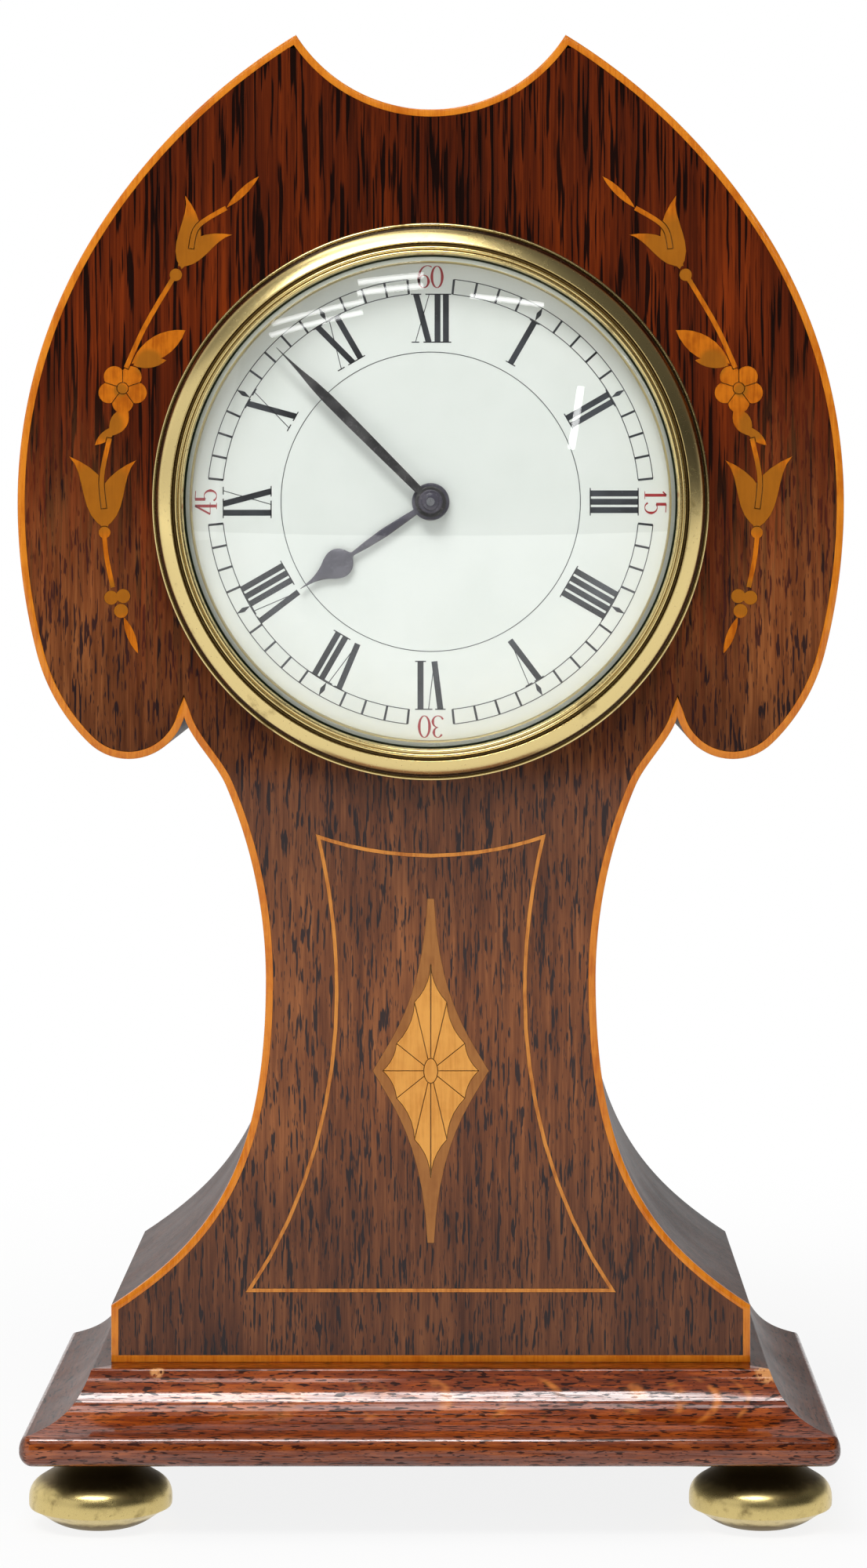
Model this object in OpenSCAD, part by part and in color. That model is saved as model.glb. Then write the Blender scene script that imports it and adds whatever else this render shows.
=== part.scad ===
// Balloon mantel clock: a waisted, inlaid wooden case on a moulded plinth and brass bun feet,
// with an eight-day drum movement that is wound and set from the back.
// Millimetres. The front faces -Y, +Z is up, and the origin is on the table under the middle.

/* [Case] */
// Width of the head at dial height
head_w = 150.8; // [147:0.2:158]
// Height of the dial centre above the foot of the trunk
dial_h = 157; // [154:0.5:160]
// Height of the two peaks above the foot of the trunk
peak_h = 242.2; // [239:0.2:248]
// Distance of each peak from the middle
peak_x = 24.6; // [21:0.2:28]
// Height of the dip between the peaks
saddle_h = 228.6; // [225:0.2:233]
// Width of the waist at its narrowest
waist_w = 60.2; // [57:0.2:66]
// Height of the narrowest part of the waist
waist_h = 70; // [66:0.5:76]
// Width of the trunk at its foot
trunk_w = 116.6; // [110:0.2:117]
// Height of the upright edge at the foot of the trunk
trunk_edge_h = 10.4; // [9:0.2:12]
// Depth of the case, front face to back edge
case_depth = 82; // [80:0.5:95]
// Thickness of the bent side panel
side_t = 3.5; // [2.5:0.1:5]
// Thickness of the front board
front_board_t = 12; // [9:0.5:14]
// Thickness of the back board
back_board_t = 10; // [7:0.5:12]
// How far the back board lies inside the back edge
back_recess = 8; // [7.5:0.25:12]
// Thickness of the front veneer and its inlays
veneer_t = 1; // [0.6:0.1:1.5]
// Thickness of the trunk's floor
base_board_t = 8; // [6:0.5:9]

/* [Case outline] */
// Shoulder point, in from the widest part
shoulder_in = 13.9; // [12:0.1:16]
// Shoulder point, above the dial centre
shoulder_up = 48.6; // [45:0.1:52]
// Hip point, in from the widest part
hip_in = 3.6; // [2.6:0.1:4.6]
// Hip point, below the dial centre
hip_down = 28; // [26:0.1:30]
// Start of the round lobe, in from the widest part
lobe_in = 13; // [12:0.1:14]
// Start of the round lobe, below the dial centre
lobe_down = 44; // [43:0.1:46]
// Notch behind the lobe, in from the widest part
notch_in = 30.4; // [29:0.1:32]
// Notch behind the lobe, below the dial centre
notch_down = 39.3; // [38:0.1:41]
// Neck under the notch, in from the widest part
neck_in = 37.9; // [36:0.1:39]
// Neck under the notch, below the dial centre
neck_down = 51.5; // [50:0.1:53]
// Radius of the dip between the peaks
saddle_r = 29; // [27:0.5:40]
// Radius from peak to shoulder
peak_r = 112.5; // [90:0.5:140]
// Radius from shoulder to the widest part
shoulder_r = 92; // [80:0.5:110]
// Radius from the widest part to the hip
hip_r = 110; // [90:0.5:130]
// Radius from the hip to the lobe
under_r = 35; // [30:0.5:45]
// Radius of the lobe
lobe_r = 10.5; // [9.6:0.1:12]
// Radius of the waist
waist_r = 90; // [80:0.5:110]

/* [Inlay] */
// Width of the string round the front edge
string_w = 1.35; // [0.9:0.05:1.8]
// Width of the thin panel line
panel_line_w = 0.7; // [0.4:0.05:1]
// Half width of the panel at its top corners
panel_top_x = 21; // [20:0.1:22]
// Half width of the panel at the waist
panel_waist_x = 17.5; // [16.5:0.1:18.5]
// Half width of the panel at its foot
panel_foot_x = 33.8; // [32:0.1:36]
// Height of the panel's top corners
panel_top_h = 96.4; // [95:0.1:98]
// Height of the panel's foot
panel_foot_h = 12.8; // [12:0.1:14]
// Height of the patera's centre
patera_h = 53.2; // [52:0.1:55]
// Half width of the patera
patera_x = 10.6; // [10.2:0.1:12]
// Half height of the patera
patera_z = 31.4; // [30:0.1:33]
// Width of the patera's blunt tips
patera_tip_w = 1.2; // [0.6:0.1:2]
// Saw line between the pieces of one inlay
saw_line = 0.12; // [0.06:0.01:0.2]
// Size of one unit of the sprays' drawing
spray_unit = 1; // [0.96:0.01:1.04]
// Width of the sprays' stems
stem_w = 0.9; // [0.6:0.05:1.2]
// Glue line round each inlay
glue_line = 0.04; // [0.02:0.01:0.08]

/* [Plinth and feet] */
// Thickness of the plinth board with its bead edge
plinth_board_t = 5.5; // [5:0.25:8]
// Height of the cove above the plinth board
cove_h = 10; // [8:0.25:12]
// Width of the plinth at the bead
plinth_w = 147; // [144:0.5:152]
// How far the bead stands in front of the case
plinth_front = 18; // [16:0.5:22]
// How far the cove lies behind the bead
bead_out = 1.3; // [1:0.1:3.5]
// Run of the cove from its top to the bead
cove_run = 10.7; // [8:0.1:12]
// Thickness of the cove's top edge
cove_top_t = 3.5; // [2.5:0.25:4]
// Height of the small fillet over the cove
fillet_h = 0.5; // [0.25:0.25:2]
// Height of the bun feet
foot_h = 13.5; // [12:0.25:18]
// Diameter of the bun feet
foot_d = 26; // [24:0.5:28]
// Distance of a foot's axis from the plinth's edges
foot_inset = 13.5; // [13:0.25:20]
// Distance of the front feet's axes behind the bead
foot_back = 16; // [14:0.5:24]
// Radius of the stud of each foot
foot_stud_r = 2.5; // [2:0.25:3]
// Radius of the plinth screws
plinth_screw_r = 1.8; // [1.5:0.1:2.2]

/* [Drum and bezel] */
// Outside radius of the bezel
bezel_r = 50.8; // [48:0.1:53]
// Height of the bezel in front of the case
bezel_h = 7.4; // [7:0.1:9]
// Width of the bezel outside the drum
bezel_band = 5.8; // [5.4:0.1:7]
// How far the bezel's lip reaches inside the drum's outer face
sight_lip = 0.2; // [0.1:0.05:0.5]
// Wall of the drum
drum_t = 0.8; // [0.6:0.05:1]
// Thickness of the glass
glass_t = 1.6; // [1.2:0.1:2]
// Rise of the domed glass over its edge
glass_rise = 6.2; // [5:0.1:8]
// Thickness of the dial
dial_t = 1.2; // [0.8:0.1:1.6]
// Clear space between the drum and the wood
drum_room = 0.3; // [0.2:0.05:0.6]
// How far the rear bezel reaches inside the drum
rear_lap = 4.7; // [4.4:0.1:6]
// How far the back door laps over the drum
door_lap = 1; // [0.5:0.1:2]
// Thickness of the back door
door_t = 1.2; // [0.8:0.1:1.4]
// Thickness of the rear bezel
rear_ring_t = 2; // [1.8:0.1:2.4]
// Radius of the door hinge's knuckles
knuckle_r = 1.6; // [1.4:0.1:1.8]
// Radius of the door hinge's pin
hinge_pin_r = 0.7; // [0.5:0.05:0.9]

/* [Hands] */
// Distance of the minute hand's tip inside the dial's edge
minute_inset = 4.4; // [3:0.1:7]
// Length of the hour hand from its axis
hour_len = 28.4; // [26:0.1:30]
// Minutes past the hour at rest
rest_minute = 52.5; // [0:0.5:59.5]
// Hour at rest
rest_hour = 7; // [0:1:11]
// Thickness of the hands
hand_t = 0.5; // [0.4:0.05:0.6]

/* [Movement] */
// Thickness of the movement plates
plate_t = 2.2; // [2:0.1:2.6]
// Distance between the plates
plate_gap = 24; // [24:0.25:26]
// Space between dial and front plate
motion_gap = 8; // [8:0.25:10]
// Space between the back plate and the drum
back_plate_room = 4.4; // [3.6:0.1:4.8]
// Radius of the pillars
pillar_r = 2.5; // [2:0.1:2.8]
// Running clearance of pivots and arbors, on the radius
run_fit = 0.03; // [0.02:0.01:0.06]
// Clearance of fixed pins and screws, on the radius
seat_fit = 0.03; // [0.02:0.01:0.06]
// Tooth module of the great wheel
barrel_m = 0.5; // [0.48:0.005:0.5]
// Tooth module of the intermediate wheel
intermediate_m = 0.45; // [0.43:0.005:0.46]
// Tooth module of the centre wheel
centre_m = 0.4; // [0.38:0.005:0.41]
// Tooth module of the third wheel
third_m = 0.35; // [0.33:0.005:0.36]
// Tooth module of the fourth wheel
fourth_m = 0.32; // [0.31:0.005:0.33]
// Tooth module of the motion work's first pair
motion_m = 0.4; // [0.38:0.005:0.42]
// Thickness of the train wheels
wheel_t = 1; // [0.8:0.1:1.2]
// Height of the barrel with its great wheel
barrel_h = 13.6; // [12:0.1:13.6]
// Distance from centre arbor to barrel arbor
barrel_dist = 20.6; // [20.4:0.05:20.8]
// Radius of the balance
balance_r = 8; // [7:0.1:8.4]
// Across the flats of the winding square
square_w = 2.8; // [2.6:0.05:2.8]
// Width of the winding key's wings
key_w = 22; // [18:0.5:24]

/* [Hidden] */
$fn = 72;
over = 1;

// Heights above the table
plinth_z = foot_h;
trunk_z = foot_h + plinth_board_t + cove_h;
dial_z = trunk_z + dial_h;

// The case face, from the bead in front and the case's back edge
face_y = (plinth_front - case_depth) / 2;

// Depths behind the case face, negative in front of it
front_board_back = veneer_t + front_board_t;
back_board_back = case_depth - back_recess;
back_board_front = back_board_back - back_board_t;
front_plate_at = dial_t + motion_gap;
front_plate_back = front_plate_at + plate_t;
back_plate_at = front_plate_back + plate_gap;
back_plate_back = back_plate_at + plate_t;

// Hand and pipe levels in front of the dial
outline_step = 2.2;
hour_hand_at = -1.3;
minute_hand_at = -2.9;
collet_front = -4;

// Drum, bezel and glass levels, forward of the case face
collar_h = 2;
slip_h = 3;
glass_edge_t = 1.8;
glass_seat = slip_h + glass_edge_t;

// Radii of the drum's pieces, from the bezel inwards
collar_step = 0.6;
slip_w = 1.5;
rear_ring_out = 5;
drum_r = bezel_r - bezel_band;
drum_in_r = drum_r - drum_t;
bezel_bore_r = drum_r + collar_step;
sight_r = drum_r - sight_lip;
sight_slip_r = sight_r - slip_w;
dial_r = drum_in_r - drum_room;
minute_len = dial_r - minute_inset;
back_plate_r = drum_in_r - back_plate_room;
rear_open_r = drum_in_r - rear_lap;
door_r = drum_r + door_lap;
rear_ring_r = door_r + rear_ring_out;

// Tooth counts
barrel_n = 70;
intermediate_leaves = 10;
intermediate_n = 60;
centre_leaves = 10;
centre_n = 64;
third_leaves = 8;
third_n = 60;
fourth_leaves = 8;
fourth_n = 60;
escape_leaves = 6;
escape_n = 15;
cannon_leaves = 12;
minute_n = 36;
minute_leaves = 10;
hour_n = 40;
ratchet_n = 24;

// Tooth form, in modules and in shares of the pitch
wheel_add = 1.25;
wheel_ded = 1.1;
wheel_share = 0.42;
leaf_add = 0.6;
leaf_ded = 1.5;
leaf_share = 0.34;
flank_h = 0.4;
flank_share = 0.82;
tip_share = 0.3;
rim_modules = 4;
spoke_w = 0.6;
spokes = 5;

// Directions of the arbors, degrees from +X, seen from the front
barrel_dir = -110;
third_dir = 60;
fourth_dir = 170;
escape_dir = 190;
lever_dir = 225;

function polar(r, a) = r * [cos(a), sin(a)];
function mesh_dist(m, n, leaves) = m * (n + leaves) / 2;
// The point at distance a from the origin and b from p, to the left of the way to p
function meet(p, a, b) =
    let (d = norm(p), u = (a * a - b * b + d * d) / (2 * d), v = sqrt(max(0, a * a - u * u)))
    (u * p + v * [-p[1], p[0]]) / d;
function heading(p) = atan2(p[1], p[0]);

// Arbor places in the plane of the dial, from its centre
centre_at = [0, 0];
barrel_at = polar(barrel_dist, barrel_dir);
intermediate_at = meet(barrel_at, mesh_dist(intermediate_m, intermediate_n, centre_leaves),
    mesh_dist(barrel_m, barrel_n, intermediate_leaves));
third_at = polar(mesh_dist(centre_m, centre_n, third_leaves), third_dir);
fourth_at = third_at + polar(mesh_dist(third_m, third_n, fourth_leaves), fourth_dir);
escape_at = fourth_at + polar(mesh_dist(fourth_m, fourth_n, escape_leaves), escape_dir);
escape_r = 4.5;
escape_root_r = escape_r - 1.3;
lever_at = escape_at + polar(5.6, lever_dir);
fork_len = 6.5;
pin_orbit_r = 2;
balance_at = lever_at + polar(9, lever_dir);
minute_dist = mesh_dist(motion_m, minute_n, cannon_leaves);
minute_at = [0, minute_dist];
hour_m = 2 * minute_dist / (hour_n + minute_leaves);

// Arbor and pivot radii
set_r = 0.75;
centre_r = 1.5;
cannon_r = 1.2;
hour_pipe_r = 2;
barrel_arbor_r = 2;
intermediate_r = 1.4;
intermediate_pivot_r = 0.9;
third_r = 0.85;
third_pivot_r = 0.5;
fourth_r = 0.75;
fourth_pivot_r = 0.45;
escape_arbor_r = 0.42;
fine_pivot_r = 0.3;
stud_r = 1;
minute_stud_r = 0.8;
staff_r = 0.5;

// Train levels, behind the case face
centre_wheel_at = front_plate_back + 1.6;
great_wheel_at = front_plate_back + 4;
great_wheel_t = 2;
barrel_back = great_wheel_at + barrel_h;
third_wheel_at = front_plate_back + 9.6;
intermediate_wheel_at = barrel_back + 1.8;
fourth_wheel_at = intermediate_wheel_at + wheel_t + 1;
end_shake = 0.2;
lever_level = back_plate_back + 1.4;
lever_t = 0.8;
escapement_cock_at = back_plate_back + 3.6;
escapement_cock_t = 1.2;
escapement_cock_back = escapement_cock_at + escapement_cock_t;
balance_level = back_plate_back + 5.6;
balance_t = 1.2;
hairspring_at = back_plate_back + 8;
hairspring_h = 1;
balance_cock_at = back_plate_back + 9.6;
balance_cock_t = 1.6;
balance_cock_back = balance_cock_at + balance_cock_t;
ratchet_at = back_plate_back + 0.3;
ratchet_t = 2;
ratchet_r = 8.5;
key_at = ratchet_at + ratchet_t + 1.2;
key_end = back_board_back - 3;
set_knob_at = balance_cock_back + 1.6;
set_knob_t = 6;
set_knob_r = 5;

// Fastenings
screw_r = 0.8;
screw_head_r = 1.6;
screw_head_h = 1;
slot_w = 0.4;
slot_h = 0.4;
pillar_edge = 3.3;
pillar_ring_r = back_plate_r - pillar_edge;
pillar_dirs = [35, 125, 205, 305];
lug_dirs = [60, 180, 300];
lug_reach = 3.2;
lug_in_r = drum_in_r - lug_reach;
lug_w = 7;
lug_t = 4;
lug_hole_in = 1.7;
lug_hole_r = drum_in_r - lug_hole_in;
ring_screw_dirs = [90, 270];
dial_foot_dirs = [90, 210, 330];
dial_foot_r = 0.9;
dial_foot_in = 5.2;
dial_foot_ring = drum_in_r - dial_foot_in;
escapement_feet = [escape_at + polar(7, 100), lever_at + polar(6.5, 315)];
cock_post_r = 1.8;
balance_post_r = 2.4;
balance_post_room = 1.1;
balance_post_edge = 0.6;
balance_foot = meet(balance_at, back_plate_r - balance_post_r - balance_post_edge,
    balance_r + balance_post_r + balance_post_room);
click_dist = 13;
click_at = barrel_at + [click_dist, 0];
square_len = 12;

// Door and hinge
door_gap = 0.2;
rear_ring_back = back_board_back + rear_ring_t;
door_at = rear_ring_back + door_gap;
hinge_gap = 0.25;
hinge_depth = rear_ring_back + knuckle_r + hinge_gap;
hinge_x = -(door_r + knuckle_r + 0.3);
hinge_len = 24;
door_knuckle_len = 8;
knuckle_gap = 0.2;
knob_x = door_r - 6;
knob_end = case_depth - 0.4;

// Plinth sizes from the bead inwards
core_half_w = plinth_w / 2 - bead_out - cove_run - cove_top_t;
core_front = -(plinth_front - bead_out - cove_run - cove_top_t);
plinth_half_w = plinth_w / 2;
foot_x = plinth_half_w - foot_inset;
foot_front = -plinth_front + foot_back;
foot_rear = case_depth - foot_inset;
stud_len = plinth_board_t - 1;
plinth_screw_x = 36;
plinth_screw_depths = [24, 52];

// Points on the short arc from p0 towards p1, with its centre left (1) or right (-1) of the way
function arc(p0, p1, r, side, n) =
    let (way = p1 - p0, len = norm(way), off = sqrt(max(0, r * r - len * len / 4)),
        c = (p0 + p1) / 2 + side * off * [-way[1], way[0]] / len, q0 = p0 - c, q1 = p1 - c,
        sweep = atan2(q0[0] * q1[1] - q0[1] * q1[0], q0 * q1))
    [for (i = [0:n - 1]) c + polar(norm(q0), heading(q0) + sweep * i / n)];
// Points on the cubic curve from p0 towards p1, with handles c0 and c1
function curve(p0, c0, c1, p1, n) =
    [for (i = [0:n - 1]) let (t = i / n, s = 1 - t)
        s * s * s * p0 + 3 * s * s * t * c0 + 3 * s * t * t * c1 + t * t * t * p1];
function mirrored(pts) = [for (i = [len(pts) - 1:-1:0]) [-pts[i][0], pts[i][1]]];

// Half outline of the case, from the dip between the peaks to the foot, over the trunk's foot
half_w = head_w / 2;
dip = [0, saddle_h];
peak = [peak_x, peak_h];
shoulder = [half_w - shoulder_in, dial_h + shoulder_up];
widest = [half_w, dial_h];
hip = [half_w - hip_in, dial_h - hip_down];
lobe = [half_w - lobe_in, dial_h - lobe_down];
notch = [half_w - notch_in, dial_h - notch_down];
neck = [half_w - neck_in, dial_h - neck_down];
waist = [waist_w / 2, waist_h];
corner = [trunk_w / 2, trunk_edge_h];
// A bend of the outline, in steps of about outline_step
function bend(p0, p1, r, side) = arc(p0, p1, r, side,
    max(4, ceil(r * asin(min(1, norm(p1 - p0) / r / 2)) * PI / 90 / outline_step)));
half_outline = concat(
    bend(dip, peak, saddle_r, 1),
    bend(peak, shoulder, peak_r, -1),
    bend(shoulder, widest, shoulder_r, -1),
    bend(widest, hip, hip_r, -1),
    bend(hip, lobe, under_r, -1),
    bend(lobe, notch, lobe_r, -1),
    curve(notch, notch - [1.2, 4], neck + [1.8, 4], neck, 7),
    bend(neck, waist, waist_r, 1),
    curve(waist, waist - [0, 34], corner + [-18.5, 12], corner, 30),
    [corner, [trunk_w / 2, 0]]);
case_outline = concat(half_outline,
    mirrored([for (i = [1:len(half_outline) - 1]) half_outline[i]]));

// A flat shape over the trunk's foot, from one depth behind the case face to another
module board(from, to)
    translate([0, face_y + to, trunk_z]) rotate([90, 0, 0]) linear_extrude(to - from) children();
// A flat shape round the dial centre, from one depth behind the case face to another
module layer(from, to)
    translate([0, face_y + to, dial_z]) rotate([90, 0, 0]) linear_extrude(to - from) children();
module rod(at, from, to, r) layer(from, to) translate(at) circle(r);
// A profile of radius and forward height, turned round the dial's axis
module turned() translate([0, face_y, dial_z]) rotate([90, 0, 0]) rotate_extrude() children();
// A flat bar with round ends
module bar(p0, p1, w) {
    way = p1 - p0;
    translate(p0) rotate(heading(way)) translate([0, -w / 2]) square([norm(way), w]);
    for (p = [p0, p1]) translate(p) circle(w / 2);
}
module case_shape(inset) offset(delta = -inset) polygon(case_outline);

// Teeth: straight flanks from the root, narrowing in two steps to the tip
function teeth(n, m, add, ded, share, phase) =
    let (r = m * n / 2, half = 180 / n * share, low = r - ded * m)
    [for (i = [0:n - 1]) let (a = 360 / n * i + phase) each [
        polar(low, a - half), polar(r + flank_h * add * m, a - half * flank_share),
        polar(r + add * m, a - half * tip_share), polar(r + add * m, a + half * tip_share),
        polar(r + flank_h * add * m, a + half * flank_share), polar(low, a + half)]];
// A wheel with round openings that leave spokes between them
module wheel_shape(n, m, phase, hub_r) {
    rim_r = m * n / 2 - rim_modules * m;
    ring_r = (hub_r + rim_r) / 2;
    hole_r = min((rim_r - hub_r) / 2, ring_r * sin(180 / spokes) - spoke_w / 2);
    difference() {
        polygon(teeth(n, m, wheel_add, wheel_ded, wheel_share, phase));
        for (i = [0:spokes - 1]) rotate(360 / spokes * i) translate([ring_r, 0]) circle(hole_r);
    }
}
module pinion_shape(n, m, phase) polygon(teeth(n, m, leaf_add, leaf_ded, leaf_share, phase));
// A gap of a pinion of n leaves faces the direction that its wheel looks from
function gap_phase(n, dir) = dir + 180 + 180 / n;
module pivots(at, r, front_end, rear_end) {
    rod(at, front_end, front_plate_back + over, r);
    rod(at, back_plate_at - over, rear_end, r);
}
// A slotted screw whose head lies on the level seat, towards the back (way 1) or the front (way -1)
module screw(at, seat, way, length) {
    head_end = seat + way * screw_head_h;
    slot_from = head_end - way * slot_h;
    slot_to = head_end + way * over;
    tip = seat - way * length;
    neck = seat + way * screw_head_h / 2;
    difference() {
        union() {
            rod(at, min(seat, head_end), max(seat, head_end), screw_head_r);
            rod(at, min(neck, tip), max(neck, tip), screw_r);
        }
        layer(min(slot_from, slot_to), max(slot_from, slot_to))
            translate(at) square([2 * screw_head_r + over, slot_w], center = true);
    }
}

// Case: the side panel is open below, where the floor of the trunk closes it
module inside_shape(below) {
    case_shape(side_t);
    translate([-trunk_w / 2 + side_t, -below]) square([trunk_w - 2 * side_t, side_t + below + over]);
}
module side_wrap() color("saddlebrown") board(veneer_t, case_depth) difference() {
    case_shape(0);
    inside_shape(over);
}
module drum_hole() translate([0, dial_h]) circle(drum_r + drum_room);
module front_board() color("burlywood") board(veneer_t, front_board_back) difference() {
    inside_shape(0);
    drum_hole();
}
module back_board() color("sienna") board(back_board_front, back_board_back) difference() {
    inside_shape(0);
    drum_hole();
}
module base_board() color("burlywood") difference() {
    translate([-trunk_w / 2 + side_t, face_y + front_board_back, trunk_z])
        cube([trunk_w - 2 * side_t, back_board_front - front_board_back, base_board_t]);
    plinth_screw_holes();
}

// Inlay shapes, over the trunk's foot
panel_sag = 3.6;
panel_top = [panel_top_x, panel_top_h];
panel_mid = [0, panel_top_h - panel_sag];
panel_waist = [panel_waist_x, waist_h - 2.5];
panel_foot = [panel_foot_x, panel_foot_h];
panel_half = concat(
    curve(panel_mid, panel_mid + [panel_top_x * 0.45, 0.2], panel_top - [6, 2], panel_top, 6),
    curve(panel_top, panel_top - [2.4, 10], panel_waist + [0, 9.5], panel_waist, 6),
    curve(panel_waist, panel_waist - [0, 17.5], panel_foot - [11.8, -17], panel_foot, 8),
    [panel_foot]);
panel_outline = concat(panel_half, mirrored([for (i = [1:len(panel_half) - 1]) panel_half[i]]));
module panel_line() difference() {
    polygon(panel_outline);
    offset(delta = -panel_line_w) polygon(panel_outline);
}

// Patera, from its centre: one quarter of each outline runs from the upright to the level axis
function flipped(pts) = [for (i = [len(pts) - 1:-1:0]) [pts[i][0], -pts[i][1]]];
function four_quarters(quarter, end) =
    let (right = concat(quarter, [end], flipped(quarter))) concat(right, mirrored(right));
patera_end = [patera_x, 0];
patera_outline = four_quarters(curve([patera_tip_w / 2, patera_z], [0.14 * patera_x, 0.41 * patera_z],
    [0.66 * patera_x, 0.2 * patera_z], patera_end, 10), patera_end);
fan_corners = [[saw_line / 2, 0.62 * patera_z], [0.28 * patera_x, 0.40 * patera_z],
    [0.59 * patera_x, 0.16 * patera_z], [0.83 * patera_x, 0]];
fan_scoop = 1.35;
fan_last = len(fan_corners) - 1;
// The hollow outer edge of a fan piece, between two corners
function fan_edge(i) = let (a = fan_corners[i], b = fan_corners[i + 1])
    arc(a, b, norm(b - a) * fan_scoop, 1, 5);
fan_outline = four_quarters([for (i = [0:fan_last - 1]) each fan_edge(i)], fan_corners[fan_last]);
boss_x = 1.2;
boss_z = 2.2;
module boss(extra) scale([boss_x + extra, boss_z + extra]) circle(1, $fn = 32);
module patera_shape() translate([0, patera_h]) polygon(patera_outline);
module border_shape() translate([0, patera_h]) difference() {
    polygon(patera_outline);
    polygon(fan_outline);
}
module fan_shape() translate([0, patera_h]) {
    difference() {
        for (sx = [-1, 1], sz = [-1, 1], i = [0:fan_last - 1]) scale([sx, sz])
            offset(delta = -saw_line / 2) polygon(concat([[0, 0]], fan_edge(i), [fan_corners[i + 1]]));
        boss(saw_line);
    }
    boss(0);
}

// Flower spray on the right of the dial, from the dial centre, in units of its drawing.
// A blade's edges bow out by shares of its length, near the foot and near the tip.
function blade(foot, tip, left, right) =
    let (way = tip - foot, side = [-way[1], way[0]], low = foot + 0.3 * way, high = foot + 0.7 * way)
    concat(curve(foot, low + left[0] * side, high + left[1] * side, tip, 8),
        curve(tip, high - right[1] * side, low - right[0] * side, foot, 8));
module leaf(foot, tip, bow) polygon(blade(foot, tip, [bow, bow], [bow, bow]));
// A ribbon of one width along a list of points
function ribbon_side(pts, w) = [for (i = [0:len(pts) - 1])
    let (way = pts[min(i + 1, len(pts) - 1)] - pts[max(i - 1, 0)])
    pts[i] + w / 2 * [-way[1], way[0]] / norm(way)];
function reversed(pts) = [for (i = [len(pts) - 1:-1:0]) pts[i]];
module stem(a, handle, b) {
    pts = concat(curve(a, handle, handle, b, 8), [b]);
    polygon(concat(ribbon_side(pts, stem_w), reversed(ribbon_side(pts, -stem_w))));
}
// Two petals that flare from a full cup and cross a little at the foot
cup_bow = [0.26, -0.1];
throat_bow = [0.38, 0.26];
foot_cross = 0.04;
module tulip(foot, left_tip, right_tip) {
    cross = (right_tip - left_tip) * foot_cross;
    polygon(blade(foot + cross, left_tip, cup_bow, throat_bow));
    polygon(blade(foot - cross, right_tip, throat_bow, cup_bow));
}
flower_at = [56.2, 20.7];
petals = 5;
petal_r = 1.95;
petal_ring = 2.6;
flower_eye_r = 1;
module spray_stems() {
    leaf([37.3, 53.6], [31.3, 59.4], 0.11);
    stem([37.3, 53.6], [43.1, 50.4], [43.7, 46.2]);
    stem([46.9, 40.9], [52.3, 32], [55.6, 24.4]);
    translate([46.5, 41.4]) circle(1.15, $fn = 24);
    stem([58.6, 11.6], [60.3, 4.3], [59.6, -1.2]);
    stem([59.6, -5.6], [59.2, -10.2], [58, -15.6]);
    translate([59.5, -5.6]) circle(1.1, $fn = 24);
    translate(flower_at) circle(flower_eye_r, $fn = 24);
}
module spray_heads() {
    tulip([45.8, 42.7], [36.2, 48.7], [44.8, 55.9]);
    leaf([54.6, 25.2], [44.7, 31.3], 0.24);
    leaf([54.4, 24.9], [48.2, 25.8], 0.2);
    for (i = [0:petals - 1]) translate(flower_at) rotate(54 + 360 / petals * i)
        translate([petal_ring, 0]) circle(petal_r, $fn = 24);
    leaf([55.4, 17.2], [58.3, 12], 0.36);
    leaf([57.2, 13.8], [61.3, 10.3], 0.22);
    tulip([59.5, -5], [53.7, 7.6], [66, 8.3]);
    for (at = [[56.1, -17.2], [58.3, -17.5], [56.5, -19.9]]) translate(at) circle(1.3, $fn = 24);
    leaf([56, -21], [53.4, -27.7], 0.14);
}
// Saw lines round the stems and between the petals part the pieces of a spray
module spray_cuts(saw) {
    offset(delta = saw) spray_stems();
    for (i = [0:petals - 1]) translate(flower_at) rotate(18 + 360 / petals * i)
        translate([0, -saw / 2]) square([petal_ring + petal_r, saw]);
}
module spray_shape(saw) scale([spray_unit, spray_unit]) {
    spray_stems();
    difference() {
        spray_heads();
        if (saw > 0) spray_cuts(saw);
    }
}
// The veneer and each inlay are cut smaller by half a glue line
module inlay_cut() offset(delta = -glue_line / 2) children();
module spray_side(side, saw) translate([0, dial_h]) scale([side, 1]) spray_shape(saw);
module front_veneer() color("brown") board(0, veneer_t) difference() {
    inlay_cut() difference() {
        case_shape(string_w);
        panel_line();
        patera_shape();
        for (side = [-1, 1]) spray_side(side, 0);
    }
    drum_hole();
}
module edge_stringing() color("peru") board(0, veneer_t) difference() {
    case_shape(0);
    case_shape(string_w - glue_line / 2);
}
module panel_stringing() color("goldenrod") board(0, veneer_t) inlay_cut() panel_line();
module left_spray() color("goldenrod") board(0, veneer_t) inlay_cut() spray_side(-1, saw_line);
module right_spray() color("goldenrod") board(0, veneer_t) inlay_cut() spray_side(1, saw_line);
module patera_border() color("goldenrod") board(0, veneer_t) inlay_cut() border_shape();
module patera_fan() color("peru") board(0, veneer_t) inlay_cut() fan_shape();

// Plinth: a bead-edged board, a core and mitred coves on the front and sides
plinth_depth = plinth_front + case_depth;
// Bead edge of the board, from its underside round to its top: inwards from the edge, and up
bead_edge = concat(
    curve([0.45 * plinth_board_t, 0], [0.2 * plinth_board_t, 0], [0, 0.22 * plinth_board_t],
        [0, 0.5 * plinth_board_t], 6),
    curve([0, 0.5 * plinth_board_t], [0, 0.76 * plinth_board_t], [0.4 * bead_out, plinth_board_t],
        [bead_out, plinth_board_t], 6),
    [[bead_out, plinth_board_t]]);
side_bead_edge = [for (p = bead_edge) [p[0] - plinth_half_w, p[1]]];
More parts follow.
